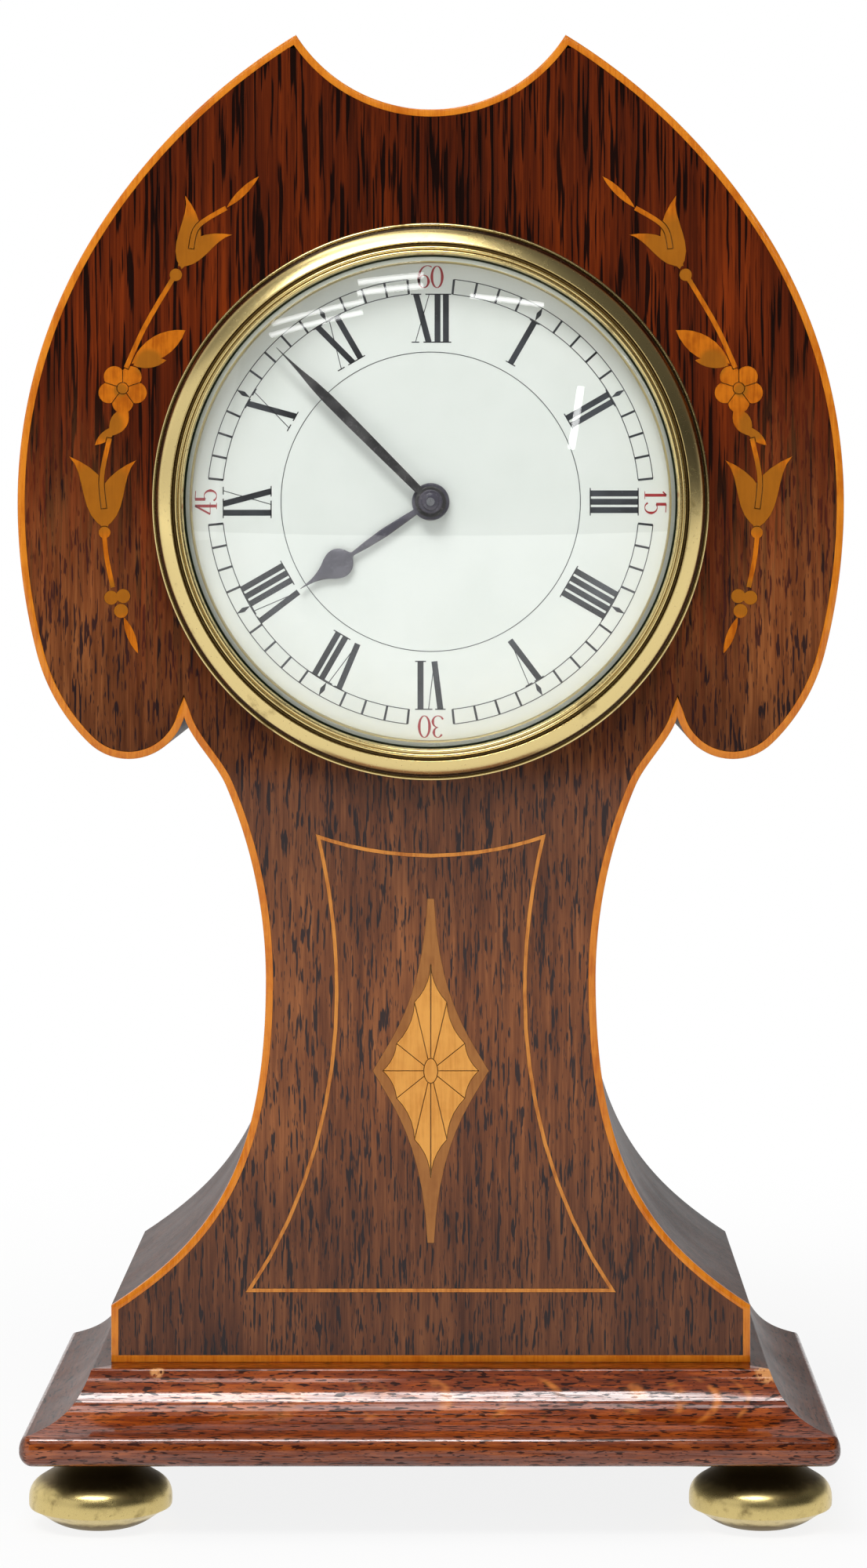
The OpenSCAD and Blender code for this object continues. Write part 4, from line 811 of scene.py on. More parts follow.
@dataclass
class Case:
    """The balloon case: its side and the string round its front edge."""

    dial_h: float = 157.0
    half_w: float = 75.4
    dip: tuple[float, float] = (0.0, 228.6)
    peak: tuple[float, float] = (24.6, 242.2)
    shoulder: tuple[float, float] = (61.5, 205.6)
    hip: tuple[float, float] = (71.8, 129.0)
    lobe: tuple[float, float] = (62.4, 113.0)
    notch: tuple[float, float] = (45.0, 117.7)
    neck: tuple[float, float] = (37.5, 105.5)
    waist: tuple[float, float] = (30.1, 70.0)
    corner: tuple[float, float] = (58.3, 10.4)
    side_t: float = 3.5
    string_w: float = 1.33
    veneer_t: float = 1.0
    back_edge_r: float = 0.6
    seam: float = 0.01

    def half_outline(self) -> Array:
        """Right half of the outline, from the dip down to the foot: arcs and two cubic curves.

        Returns:
            Points across and up from the foot of the trunk.
        """
        widest = (self.half_w, self.dial_h)
        notch = np.array(self.notch)
        neck = np.array(self.neck)
        waist = np.array(self.waist)
        corner = np.array(self.corner)
        return np.concatenate((
            arc(self.dip, self.peak, 29, 1, 28),
            arc(self.peak, self.shoulder, 112.5, -1, 44),
            arc(self.shoulder, widest, 92, -1, 44),
            arc(widest, self.hip, 110, -1, 24),
            arc(self.hip, self.lobe, 35, -1, 20),
            arc(self.lobe, self.notch, 10.5, -1, 30),
            bow(notch, notch - (1.2, 4), neck + (1.8, 4), neck, 14),
            arc(self.neck, self.waist, 90, 1, 30),
            bow(waist, waist - (0, 34), corner + (-18.5, 12), corner, 70),
            np.linspace(self.corner, (self.corner[0], 0), 8)))

    def outline(self) -> Array:
        """The whole outline as a loop, clockwise from the dip, with the foot's edge left straight.

        Returns:
            The points of the loop.
        """
        half = self.half_outline()
        mirrored = half[:0:-1] * np.array((-1, 1))
        return np.concatenate((half, mirrored))

    @staticmethod
    def inset(loop: Array, depth: float) -> Array:
        """Move a clockwise loop inwards.

        Each point goes along the mitre of its two edges. A point that would fold over at a sharp corner
        lies nearer than depth to the loop, and is put on the nearest sound point instead.

        Args:
            loop: the points of the loop.
            depth: how far inwards.

        Returns:
            As many points as the loop has.
        """
        if depth == 0:
            return loop
        way = np.roll(loop, -1, 0) - loop
        way = way / np.hypot(way[:, 0], way[:, 1])[:, None]
        ahead = np.stack((way[:, 1], -way[:, 0]), -1)
        behind = np.roll(ahead, 1, 0)
        mitre = (ahead + behind) / (1 + (ahead * behind).sum(1))[:, None]
        moved = loop + depth * mitre
        edge = np.roll(loop, -1, 0) - loop
        share = ((moved[:, None] - loop[None]) * edge[None]).sum(-1) / (edge * edge).sum(-1)[None]
        nearest = loop[None] + np.clip(share, 0, 1)[..., None] * edge[None]
        gap = np.sqrt(((moved[:, None] - nearest) ** 2).sum(-1)).min(1)
        sound = np.flatnonzero(gap > depth - 1e-3)
        order = np.abs(np.arange(len(loop))[:, None] - sound[None]).argmin(1)
        return moved[sound[order]]

    @staticmethod
    def placed(flat: Array, depth: float) -> Array:
        """Put flat outline points at a depth behind the case face."""
        return np.stack((flat[:, 0], np.full(len(flat), FACE_Y + depth), flat[:, 1] + TRUNK_Z), -1)

    def swept(self, section: Sequence[tuple[float, float]]) -> Array:
        """Carry a section of inset and depth pairs round the outline, as rows of points.

        Args:
            section: inset and depth pairs.

        Returns:
            A row of points for each point of the outline.
        """
        loop = self.outline()
        insets = {inward: self.inset(loop, inward) for inward, _ in section}
        return np.stack([self.placed(insets[inward], depth) for inward, depth in section], 1)

    def build(self, finishes: Finishes) -> None:
        """Make the side and the edge string.

        Args:
            finishes: every finish by its name.
        """
        back = BACK_Y - FACE_Y
        soft = self.back_edge_r
        wall = self.side_t
        section = [(0.0, self.veneer_t + self.seam), (0.0, 20.0), (0.0, 45.0), (0.0, back - soft),
                   (soft * 0.3, back - soft * 0.3), (soft, back), (wall - 0.3, back), (wall, back - 0.3),
                   (wall, 40.0), (wall, self.veneer_t + self.seam)]
        rows = self.swept(section)
        foot = len(self.half_outline()) - 1
        rows = np.roll(rows, -foot - 1, 0)
        rows[[0, -1], :, 2] = TRUNK_Z
        reach = self.corner[0] - np.array([inward for inward, _ in section])
        rows[0, :, 0] = -reach
        rows[-1, :, 0] = reach
        side = Skin().grid(rows, round_cols=True, capped=True).piece("case_side")
        dress(side, "case", "oak_side", finishes["side"], "side_wrap")
        deep = self.veneer_t
        string = [(0.0, deep), (0.0, 0.2), (0.05, 0.07), (0.18, 0.0), (self.string_w, 0.0),
                  (self.string_w, deep)]
        edge = Skin().grid(self.swept(string), round_rows=True, round_cols=True).piece("edge_string")
        dress(edge, "case", "boxwood", finishes["string"], "edge_stringing")


@dataclass
class Plinth:
    """The moulded plinth: bead-edged board and three mitred coves, on four turned feet."""

    half_w: float = 73.5
    board_t: float = 5.5
    front: float = -18.0
    bead_out: float = 1.3
    cove_h: float = 10.0
    core_half_w: float = 58.0
    core_front: float = -2.5
    cove_run: float = 10.7
    top_t: float = 3.5
    ease: float = 0.5
    foot_h: float = PLINTH_Z
    foot_r: float = 13.0

    def bead_edge(self) -> Array:
        """Bead of the board, from its underside round to its top: inwards from the edge, and up.

        Returns:
            The points of the edge.
        """
        t = self.board_t
        return np.concatenate((
            bow((0.45 * t, 0), (0.2 * t, 0), (0, 0.22 * t), (0, 0.5 * t), 14),
            bow((0, 0.5 * t), (0, 0.76 * t), (0.4 * self.bead_out, t), (self.bead_out, t), 12),
            [(self.bead_out, t)]))

    def board(self) -> Skin:
        """Bead-edged board: the bead carried round the front and sides of a flat box.

        A bead point lies out by deep - inwards from a box that is deep inside the edge, and a front corner
        is a quarter circle of that radius about the corner of the box.

        Returns:
            The closed skin of the board.
        """
        edge = self.bead_edge()
        deep = edge[:, 0].max()
        out = (deep - edge[:, 0])[:, None]
        bend = np.linspace(0, math.pi / 2, 13)[None]
        wide = self.half_w - deep
        ahead = FACE_Y + self.front + deep
        left = np.stack((-wide - out * np.cos(bend), ahead - out * np.sin(bend)), -1)
        right = left[:, ::-1] * np.array((-1, 1))
        ends = [np.stack((sign * (wide + out), np.full_like(out, BACK_Y)), -1) for sign in (-1, 1)]
        flat = np.concatenate((ends[0], left, right, ends[1]), 1)
        height = np.broadcast_to(edge[:, 1][:, None] + self.foot_h, flat.shape[:2])
        rows = np.concatenate((flat, height[..., None]), -1)
        return Skin().grid(rows, round_cols=True, capped=True)

    def cove_section(self) -> Array:
        """Section of the cove, outwards and upwards: foot, flat hollow, rounded top edge and flat top.

        Returns:
            The points of the section.
        """
        foot = self.top_t + self.cove_run
        rise = self.cove_h - self.ease
        hollow = bow((foot, 0.0), (foot - 0.54 * self.cove_run, 0.14 * rise),
                     (self.top_t + 0.22 * self.cove_run, 0.36 * rise), (self.top_t, rise), 30)
        turn = np.linspace(0.2, math.pi / 2, 8)
        edge = np.stack((self.top_t - self.ease * (1 - np.cos(turn)), rise + self.ease * np.sin(turn)), -1)
        return np.concatenate(([(0.0, 0.0)], hollow, edge, [(0.0, self.cove_h)]))

    def cove(self, side: int) -> Skin:
        """One mitred length of cove: the front for side 0, the left for -1 and the right for 1.

        Args:
            side: 0, -1 or 1.

        Returns:
            The closed skin of the length.
        """
        section = self.cove_section()
        out = section[:, 0]
        height = section[:, 1] + self.foot_h + self.board_t
        ahead = FACE_Y + self.core_front - out
        wide = self.core_half_w + out
        back = np.full_like(out, BACK_Y)
        if side == 0:
            ends = [(-wide, ahead), (wide, ahead)]
        else:
            ends = [(side * wide, ahead), (side * wide, back)]
        steps = np.linspace(0, 1, 25)[:, None]
        first, last = (np.stack((x, y, height), -1) for x, y in ends)
        rows = first[None] + steps[..., None] * (last - first)[None]
        return Skin().grid(rows, round_cols=True, capped=True)

    def foot_section(self) -> Array:
        """Section of a foot: contact ring, low bowl, upright rim with a rounded edge, shoulder and neck.

        Returns:
            Radius and height pairs.
        """
        r = self.foot_r
        h = self.foot_h
        return np.concatenate((
            [(0, 0)],
            bow((0.38 * r, 0), (0.52 * r, 0.01 * h), (0.63 * r, 0.06 * h), (0.72 * r, 0.115 * h), 12),
            bow((0.72 * r, 0.115 * h), (0.8 * r, 0.17 * h), (0.9 * r, 0.23 * h), (0.955 * r, 0.262 * h), 10),
            [(0.962 * r, 0.272 * h), (0.968 * r, 0.262 * h), (0.985 * r, 0.268 * h)],
            bow((0.995 * r, 0.285 * h), (r, 0.31 * h), (r, 0.34 * h), (r, 0.36 * h), 8),
            bow((r, 0.37 * h), (r, 0.5 * h), (0.96 * r, 0.58 * h), (0.84 * r, 0.65 * h), 22),
            bow((0.84 * r, 0.65 * h), (0.77 * r, 0.691 * h), (0.7 * r, 0.733 * h), (0.63 * r, 0.775 * h), 8),
            bow((0.63 * r, 0.775 * h), (0.55 * r, 0.835 * h), (0.48 * r, 0.9 * h), (0.48 * r, h), 8),
            [(0.48 * r, h), (0, h)]))

    def build(self, finishes: Finishes) -> None:
        """Make the board, the coves and the feet.

        Args:
            finishes: every finish by its name.
        """
        board = self.board().piece("plinth_edge", crease=50)
        dress(board, "case", "oak_plinth", finishes["bead"], "plinth_board")
        for name, side, finish in (("front", 0, "plinth"), ("left", -1, "return"), ("right", 1, "return")):
            cove = self.cove(side).piece(f"{name}_cove", crease=40)
            dress(cove, "case", "oak_plinth", finishes[finish], f"{name}_moulding")
        for node in ("foot_front_left", "foot_front_right", "foot_back_left", "foot_back_right"):
            spot = middle(node)
            foot = Skin()
            foot.turned(self.foot_section(), (spot.x, spot.y, 0), forward=False, count=96, closed=False)
            made = foot.piece(node.replace("foot", "bun_foot"), crease=24)
            dress(made, "case", "foot_brass", finishes["foot"], node)


@dataclass
class Bezel:
    """The brass bezel, its domed glass and the gilt slip; heights are forward of the case face."""

    outer_r: float = 50.8
    sight_r: float = 44.8
    bore_r: float = 45.6
    height: float = 7.4
    seat: float = 4.8
    slip_h: float = 3.0
    slip_r: float = 43.3
    glass_t: float = 1.6
    glass_rise: float = 6.2

    def ring_section(self) -> Array:
        """Section of the ring: outer bead, groove, steep wall, broad band, hollow, two fine beads and lip.

        Returns:
            Radius and height pairs.
        """
        out = self.outer_r
        sight = self.sight_r
        top = self.height
        band_in = sight + 2.3
        return np.concatenate((
            [(self.bore_r, 0.02), (out, 0.02), (out, 0.7)],
            arc((out, 0.75), (out - 0.6, 0.75), 0.31, 1, 8),
            [(out - 0.64, 0.6), (out - 0.84, 0.6), (out - 0.9, 3.4)],
            bow((out - 0.9, 3.8), (out - 0.95, 4.95), (band_in + 1.5, top - 1.5), (band_in, top - 0.74), 26),
            bow((band_in, top - 0.74), (band_in - 0.14, top - 0.7), (band_in - 0.2, top - 0.84),
                (band_in - 0.22, top - 1.0), 5),
            bow((band_in - 0.24, top - 1.25), (band_in - 0.3, top - 1.7), (band_in - 0.62, top - 1.72),
                (band_in - 0.78, top - 1.35), 8),
            arc((band_in - 0.8, top - 0.95), (band_in - 1.4, top - 0.95), 0.32, 1, 8),
            [(band_in - 1.42, top - 1.3), (band_in - 1.52, top - 1.3)],
            arc((band_in - 1.54, top - 0.85), (sight + 0.16, top - 0.85), 0.31, 1, 8),
            [(sight + 0.12, top - 1.2), (sight, top - 1.4), (sight, self.seat + 0.02),
             (self.bore_r, self.seat + 0.02)]))

    def glass_section(self) -> Array:
        """Section of the glass: two arcs of one sphere's centre, with a flat edge ring.

        Returns:
            Radius and height pairs.
        """
        edge = self.sight_r - 0.3
        ball = (edge * edge + self.glass_rise ** 2) / (2 * self.glass_rise)
        reach = math.asin(edge / ball)
        tilt = np.linspace(0, reach, 40)
        outer = np.stack((ball * np.sin(tilt), self.seat + self.glass_rise - ball * (1 - np.cos(tilt))), -1)
        small = ball - self.glass_t
        inner = np.stack((small * np.sin(tilt), outer[0, 1] - ball + small * np.cos(tilt)), -1)
        rim = [(self.bore_r - 0.1, self.seat), (self.bore_r - 0.1, self.slip_h)]
        return np.concatenate((outer, rim, inner[::-1]))

    def slip_section(self) -> Array:
        """Section of the gilt slip that stands between dial and glass.

        Returns:
            Radius and height pairs.
        """
        low = self.slip_r
        high = self.slip_h
        edge = self.bore_r - 0.1
        return np.array([(low, 0.02), (low + 0.6, 0.02), (low + 0.6, 2.0), (edge, 2.0), (edge, high - 0.01),
                         (low + 0.45, high - 0.01), (low + 0.15, high - 0.12), (low, high - 0.4)])

    def build(self, finishes: Finishes) -> None:
        """Make the ring, the glass and the slip.

        Args:
            finishes: every finish by its name.
        """
        ring = Skin().turned(self.ring_section(), count=288).piece("bezel_band", crease=32)
        dress(ring, "case", "bezel_brass", finishes["bezel"], "bezel_ring")
        glass = Skin().turned(self.glass_section(), count=192, closed=False).piece("domed_glass", crease=40)
        dress(glass, "case", "glass", finishes["glass"], "bezel_glass")
        # The slip is coloured as the dial's edge in painted shade under the glass rim, not as gilt.
        slip = Skin().turned(self.slip_section(), count=192).piece("gilt_slip", crease=30)
        dress(slip, "case", "gilt", finishes["gilt"], "sight_ring")


class Stroke:
    """Flat strokes on the dial: strips of some width and thickness along lines in the dial's plane."""

    def __init__(self, low: float, high: float) -> None:
        """Keep the forward heights of the strokes' under and upper side.

        Args:
            low: height of the under side.
            high: height of the upper side.
        """
        self.low = low
        self.high = high
        self.skin = Skin()

    def strip(self, line: Array, half: Any, closed: bool = False) -> None:
        """Add a strip: four corners, half to each side of the line and at both heights, carried along.

        Args:
            line: points across and up from the dial's centre.
            half: the half width, one for all or one for each point.
            closed: whether the line is a ring.
        """
        if closed:
            way = np.roll(line, -1, 0) - np.roll(line, 1, 0)
        else:
            way = np.gradient(line, axis=0)
        way = way / np.hypot(way[:, 0], way[:, 1])[:, None]
        off = np.stack((-way[:, 1], way[:, 0]), -1) * np.broadcast_to(half, len(line))[:, None]
        corners = [(line + off, self.high), (line - off, self.high),
                   (line - off, self.low), (line + off, self.low)]
        rows = np.stack([np.stack((flat[:, 0], np.full(len(flat), HUB[1] - h), flat[:, 1] + HUB[2]), -1)
                         for flat, h in corners], 1)
        self.skin.grid(rows, closed, True, not closed)

    def ring(self, radius: float, half: float, first: float = 0.0, last: float = 360.0) -> None:
        """Add a ring or a bow of it, between two clock angles in degrees.

        Args:
            radius: radius of its middle line.
            half: half its width.
            first: clock angle where it starts.
            last: clock angle where it ends.
        """
        whole = last - first >= 360
        angle = np.radians(np.linspace(first, last, max(6, int((last - first) * 0.8)), endpoint=not whole))
        self.strip(radius * np.stack((np.sin(angle), np.cos(angle)), -1), half, whole)


def clock_turn(line: Array, degrees: float) -> Array:
    """Turn points clockwise about the dial's centre.

    Args:
        line: points across and up from the centre.
        degrees: the angle.

    Returns:
        The turned points.
    """
    c = math.cos(math.radians(degrees))
    s = math.sin(math.radians(degrees))
    return line @ np.array(((c, -s), (s, c)))


@dataclass
class Dial:
    """The enamel dial with its painted ring, Roman hours and red quarter numbers."""

    radius: float = 43.9
    thick: float = 1.2
    track_out: float = 40.6
    track_in: float = 37.9
    hour_out: float = 37.7
    hour_in: float = 29.0
    inner_ring: float = 27.2
    line: float = 0.075
    tick: float = 0.2
    stem: float = 0.54
    hair: float = 0.07
    serif: float = 0.1
    red_in: float = 38.9
    red_h: float = 3.9
    ink_low: float = 0.004
    ink_high: float = 0.024
    hours: tuple[str, ...] = ("XII", "I", "II", "III", "IIII", "V", "VI", "VII", "VIII", "IX", "X", "XI")
    quarters: tuple[str, ...] = ("60", "15", "30", "45")
    widths: dict = field(default_factory=lambda: {"I": 1.52, "V": 3.7, "X": 4.0})

    def letter(self, mark: str, left: float) -> list[tuple[Array, float]]:
        """Strokes of one Roman letter: upright or sloping stems with thin serifs.

        Args:
            mark: I, V or X.
            left: where the letter's box starts, across.

        Returns:
            Pairs of a two-point line and its half width, with 0 up at the foot of the numeral.
        """
        tall = self.hour_out - self.hour_in
        wide = self.widths[mark]
        mid = left + wide / 2
        if mark == "I":
            strokes = [((mid, 0), (mid, tall), self.stem)]
            feet = [(mid, 0, 0.98), (mid, tall, 0.98)]
        elif mark == "V":
            strokes = [((left + 0.85, tall), (mid + 0.1, 0), self.stem),
                       ((mid + 0.1, 0), (left + wide - 0.7, tall), self.hair)]
            feet = [(left + 0.85, tall, 0.95), (left + wide - 0.7, tall, 0.7)]
        else:
            strokes = [((left + 0.85, tall), (left + wide - 0.85, 0), self.stem),
                       ((left + 0.75, 0), (left + wide - 0.75, tall), self.hair)]
            feet = [(left + 0.85, tall, 0.95), (left + wide - 0.75, tall, 0.7),
                    (left + 0.75, 0, 0.7), (left + wide - 0.85, 0, 0.95)]
        lines = [(np.array((a, b), float), half) for a, b, half in strokes]
        lines += [(np.array(((x - reach, y), (x + reach, y))), self.serif) for x, y, reach in feet]
        return lines

    def numeral(self, ink: Stroke, text: str, degrees: float) -> None:
        """Paint one Roman hour, its foot towards the centre.

        Args:
            ink: what it is painted with.
            text: the letters.
            degrees: its clock angle.
        """
        left = -sum(self.widths[mark] for mark in text) / 2
        for mark in text:
            for line, half in self.letter(mark, left):
                ink.strip(clock_turn(line + (0, self.hour_in), degrees), half)
            left += self.widths[mark]

    @staticmethod
    def figure_lines(mark: str) -> list[Array]:
        """Pen lines of one Arabic figure in a box about 0.6 wide and 1 high.

        Args:
            mark: the figure.

        Returns:
            Its lines, as points.
        """
        ring = np.linspace(0, 2 * math.pi, 40)
        if mark == "0":
            return [np.stack((0.3 + 0.27 * np.sin(ring), 0.5 + 0.5 * np.cos(ring)), -1)]
        if mark == "1":
            return [np.array(((0.14, 0.84), (0.32, 1.0))), np.array(((0.32, 1.0), (0.32, 0.02))),
                    np.array(((0.12, 0.0), (0.52, 0.0)))]
        if mark == "3":
            turn = np.linspace(2.75, -1.55, 24)
            upper = np.stack((0.29 + 0.21 * np.cos(turn), 0.77 + 0.23 * np.sin(turn)), -1)
            turn = np.linspace(1.6, -2.75, 26)
            lower = np.stack((0.28 + 0.27 * np.cos(turn), 0.27 + 0.27 * np.sin(turn)), -1)
            return [upper, lower]
        if mark == "4":
            return [np.array(((0.44, 1.0), (0.02, 0.3))), np.array(((0.02, 0.3), (0.62, 0.3))),
                    np.array(((0.44, 1.0), (0.44, 0.02))), np.array(((0.28, 0.0), (0.6, 0.0)))]
        if mark == "5":
            turn = np.linspace(2.2, -2.6, 28)
            bowl = np.stack((0.27 + 0.28 * np.cos(turn), 0.29 + 0.29 * np.sin(turn)), -1)
            return [np.array(((0.1, 1.0), (0.53, 0.97))), np.array(((0.1, 1.0), (0.1, 0.53))), bowl]
        turn = np.linspace(0.35, 1.15, 26) * math.pi
        sweep = np.stack((0.5 + 0.46 * np.cos(turn), 0.42 + 0.6 * np.sin(turn)), -1)
        bowl = np.stack((0.3 + 0.25 * np.sin(ring), 0.29 + 0.29 * np.cos(ring)), -1)
        return [sweep, bowl]

    def quarter(self, ink: Stroke, text: str, degrees: float) -> None:
        """Paint one quarter number, its top outwards; upright pen lines are thick and level ones thin.

        Args:
            ink: what it is painted with.
            text: the figures.
            degrees: its clock angle.
        """
        step = 0.62 * self.red_h
        for place, mark in enumerate(text):
            shift = (place - len(text) / 2) * step
            for line in self.figure_lines(mark):
                flat = line * self.red_h * np.array((0.9, 1)) + (shift + 0.1, self.red_in)
                way = np.abs(np.gradient(flat, axis=0))
                upright = way[:, 1] / (way.sum(1) + 1e-9)
                ink.strip(clock_turn(flat, degrees), 0.06 + 0.2 * upright ** 1.5)

    def track(self, ink: Stroke) -> None:
        """Paint the minute track: two rings and a tick a minute, open at the quarters, lozenges at fives.

        Args:
            ink: what it is painted with.
        """
        for start in range(0, 360, 90):
            for radius in (self.track_out, self.track_in):
                ink.ring(radius, self.line, start + 6, start + 84)
        ladder = np.array(((0, self.track_in), (0, self.track_out)))
        rise = np.array((0.0, 0.5, 1.0))
        lozenge = np.stack((np.zeros(3), self.track_in + 0.05 + rise * (self.track_out - self.track_in)), -1)
        for minute in range(60):
            if minute % 15 == 0:
                continue
            if minute % 5 == 0:
                ink.strip(clock_turn(lozenge, 6 * minute), np.array((0.02, 0.44, 0.02)))
            else:
                ink.strip(clock_turn(ladder, 6 * minute), self.tick)
        ink.ring(self.inner_ring, self.line * 0.9)

    def build(self, finishes: Finishes) -> None:
        """Make the plate and what is painted on it.

        Args:
            finishes: every finish by its name.
        """
        r = self.radius
        section = np.array([(0, 0), (0.5 * r, 0), (r - 0.7, 0), (r - 0.3, -0.08), (r - 0.06, -0.32),
                            (r, -0.6), (r, -self.thick), (0, -self.thick)])
        plate = Skin().turned(section, count=192, closed=False).piece("enamel_dial", crease=30)
        dress(plate, "case", "enamel", finishes["enamel"], "dial")
        black = Stroke(self.ink_low, self.ink_high)
        for hour, text in enumerate(self.hours):
            self.numeral(black, text, 30 * hour)
        self.track(black)
        dress(black.skin.piece("dial_figures", crease=20), "case", "enamel", finishes["ink"])
        red = Stroke(self.ink_low, self.ink_high)
        for quarter, text in enumerate(self.quarters):
            self.quarter(red, text, 90 * quarter)
        dress(red.skin.piece("quarter_figures", crease=20), "case", "enamel", finishes["red"])


@dataclass
class Hands:
    """The two hands and their collet, drawn at rest; heights are forward of the dial."""

    minute_angle: float = 315.0
    hour_angle: float = 236.25
    minute_len: float = 39.5
    hour_len: float = 28.4
    minute_low: float = 2.4
    hour_low: float = 0.8
    thick: float = 0.5
    minute_hub: float = 2.8
    hour_hub: float = 3.4
    minute_blade: Stations = ((0.03, 0.7), (0.3, 0.86), (0.52, 0.98), (0.66, 0.97), (0.76, 0.78),
                              (0.84, 0.42), (0.92, 0.2), (1.0, 0.05))
    hour_blade: Stations = ((0.05, 0.46), (0.2, 0.66), (0.36, 0.82), (0.5, 0.62), (0.6, 0.34), (0.611, 0.45),
                            (0.62, 1.1), (0.64, 1.92), (0.67, 2.5), (0.7, 2.72), (0.735, 2.62),
                            (0.775, 2.1), (0.81, 1.42), (0.85, 0.86), (0.9, 0.42), (0.95, 0.2), (1.0, 0.05))

    def blade(self, skin: Skin, stations: Stations, length: float, degrees: float, low: float) -> None:
        """Add a crowned blade: a low arch as wide as the stations say, carried out from the hub.

        Args:
            skin: the piece it belongs to.
            stations: share of length and half width.
            length: from the axis to the tip.
            degrees: clock angle.
            low: forward height of its under side.
        """
        share, half = np.array(stations).T
        along = np.linspace(share[0], share[-1], 180)
        half = np.interp(along, share, half)
        half = np.convolve(np.pad(half, 2, "edge"), np.ones(5) / 5, "valid")
        across = np.array((-1, -0.72, 0, 0.72, 1, 1, -1))
        rise = np.array((0.45, 0.86, 1.0, 0.86, 0.45, 0, 0)) * self.thick
        flat_x = half[:, None] * across[None]
        flat_z = np.broadcast_to((along * length)[:, None], flat_x.shape)
        turned = clock_turn(np.stack((flat_x, flat_z), -1).reshape(-1, 2), degrees).reshape(*flat_x.shape, 2)
        depth = np.broadcast_to(HUB[1] - low - rise[None], flat_x.shape)
        skin.grid(np.stack((turned[..., 0], depth, turned[..., 1] + HUB[2]), -1), False, True, True)

    def hub(self, skin: Skin, radius: float, hole: float, low: float) -> None:
        """Add a flat round boss with an eased edge.

        Args:
            skin: the piece it belongs to.
            radius: its radius.
            hole: radius of its hole.
            low: forward height of its under side.
        """
        top = low + self.thick
        section = np.array([(hole, low), (radius, low), (radius, top - 0.18), (radius - 0.18, top),
                            (hole, top)])
        skin.turned(section, count=72)

    def build(self, finishes: Finishes) -> None:
        """Make both hands and the collet.

        Args:
            finishes: every finish by its name.
        """
        minute = Skin()
        self.blade(minute, self.minute_blade, self.minute_len, self.minute_angle, self.minute_low)
        self.hub(minute, self.minute_hub, 1.2, self.minute_low)
        dress(minute.piece("minute_pointer", crease=30), "minute_arbor", "hand_black", finishes["minute"],
              "minute_hand")
        hour = Skin()
        self.blade(hour, self.hour_blade, self.hour_len, self.hour_angle, self.hour_low)
        self.hub(hour, self.hour_hub, 2.2, self.hour_low)
        dress(hour.piece("hour_pointer", crease=30), "hour_pipe", "hand_black", finishes["hour"],
              "hour_hand")
        section = np.array([(0, 2.91), (2.2, 2.91), (2.2, 3.12), (2.02, 3.32), (1.62, 3.36), (1.5, 3.58),
                            (1.2, 3.7), (0.62, 3.7), (0.58, 3.86), (0.3, 3.98), (0, 4.0)])
        collet = Skin().turned(section, count=64, closed=False).piece("pinned_collet", crease=26)
        dress(collet, "minute_arbor", "bezel_brass", finishes["collet"], "hand_collet")


@dataclass
class DoorRelief:
    """Turned mouldings on the back of the door, and its domed knob; depths are behind the case face."""

    door_back: float = 77.4
    rim: tuple[float, float] = (42.3, 45.5)
    dome_r: float = 35.5
    dome_rise: float = 1.5
    knob_x: float = 40.0
    knob_r: float = 2.95
    knob_from: float = 79.5
    knob_end: float = 81.9

    def rim_section(self) -> Array:
        """Section of the rim moulding: a half round between two small steps.

        Returns:
            Radius and height pairs.
        """
        low, high = self.rim
        back = -self.door_back
        round_top = arc((high - 0.5, back - 0.35), (low + 0.5, back - 0.35), 1.35, -1, 14)
        return np.concatenate(([(low, back + 0.05), (high, back + 0.05), (high, back - 0.35)], round_top,
                               [(low + 0.5, back - 0.35), (low, back - 0.35)]))

    def dome_section(self) -> Array:
        """Section of the pressed middle: a step, a bead and a low dome up to the axis.

        Returns:
            Radius and height pairs.
        """
        r = self.dome_r
        back = -self.door_back
        top = back - self.dome_rise
        bead = arc((r - 0.3, back - 0.3), (r - 1.9, back - 0.3), 0.85, -1, 10)
        dome = bow((r - 2.4, back - 0.3), (r - 9, back - 1.1), (0.4 * r, top), (0, top), 24)
        return np.concatenate(([(0, back + 0.05), (r, back + 0.05), (r, back - 0.3)], bead,
                               [(r - 1.9, back - 0.3)], dome, [(0, top)]))

    def knob_section(self) -> Array:
        """Section of the knob: a waist, a rolled edge and a domed end.

        Returns:
            Radius and height pairs.
        """
        r = self.knob_r
        start, end = -self.knob_from, -self.knob_end
        return np.concatenate(([(0, start), (0.75 * r, start)],
                               bow((0.95 * r, start - 0.15), (1.03 * r, start - 0.5), (1.02 * r, start - 1.1),
                                   (0.9 * r, start - 1.4), 8),
                               bow((0.86 * r, start - 1.4), (0.7 * r, end + 0.3), (0.4 * r, end),
                                   (0, end), 12),
                               [(0, end)]))

    def build(self, finishes: Finishes) -> None:
        """Make the relief and the knob.

        Args:
            finishes: every finish by its name.
        """
        relief = Skin().turned(self.rim_section(), count=192)
        relief.turned(self.dome_section(), count=192, closed=False)
        dress(relief.piece("door_relief", crease=30), "back_door", "drum_brass", finishes["drum"])
        centre = (self.knob_x, HUB[1], HUB[2])
        knob = Skin().turned(self.knob_section(), centre, count=48, closed=False)
        dress(knob.piece("door_knob_cap", crease=30), "back_door", "drum_brass", finishes["drum"])


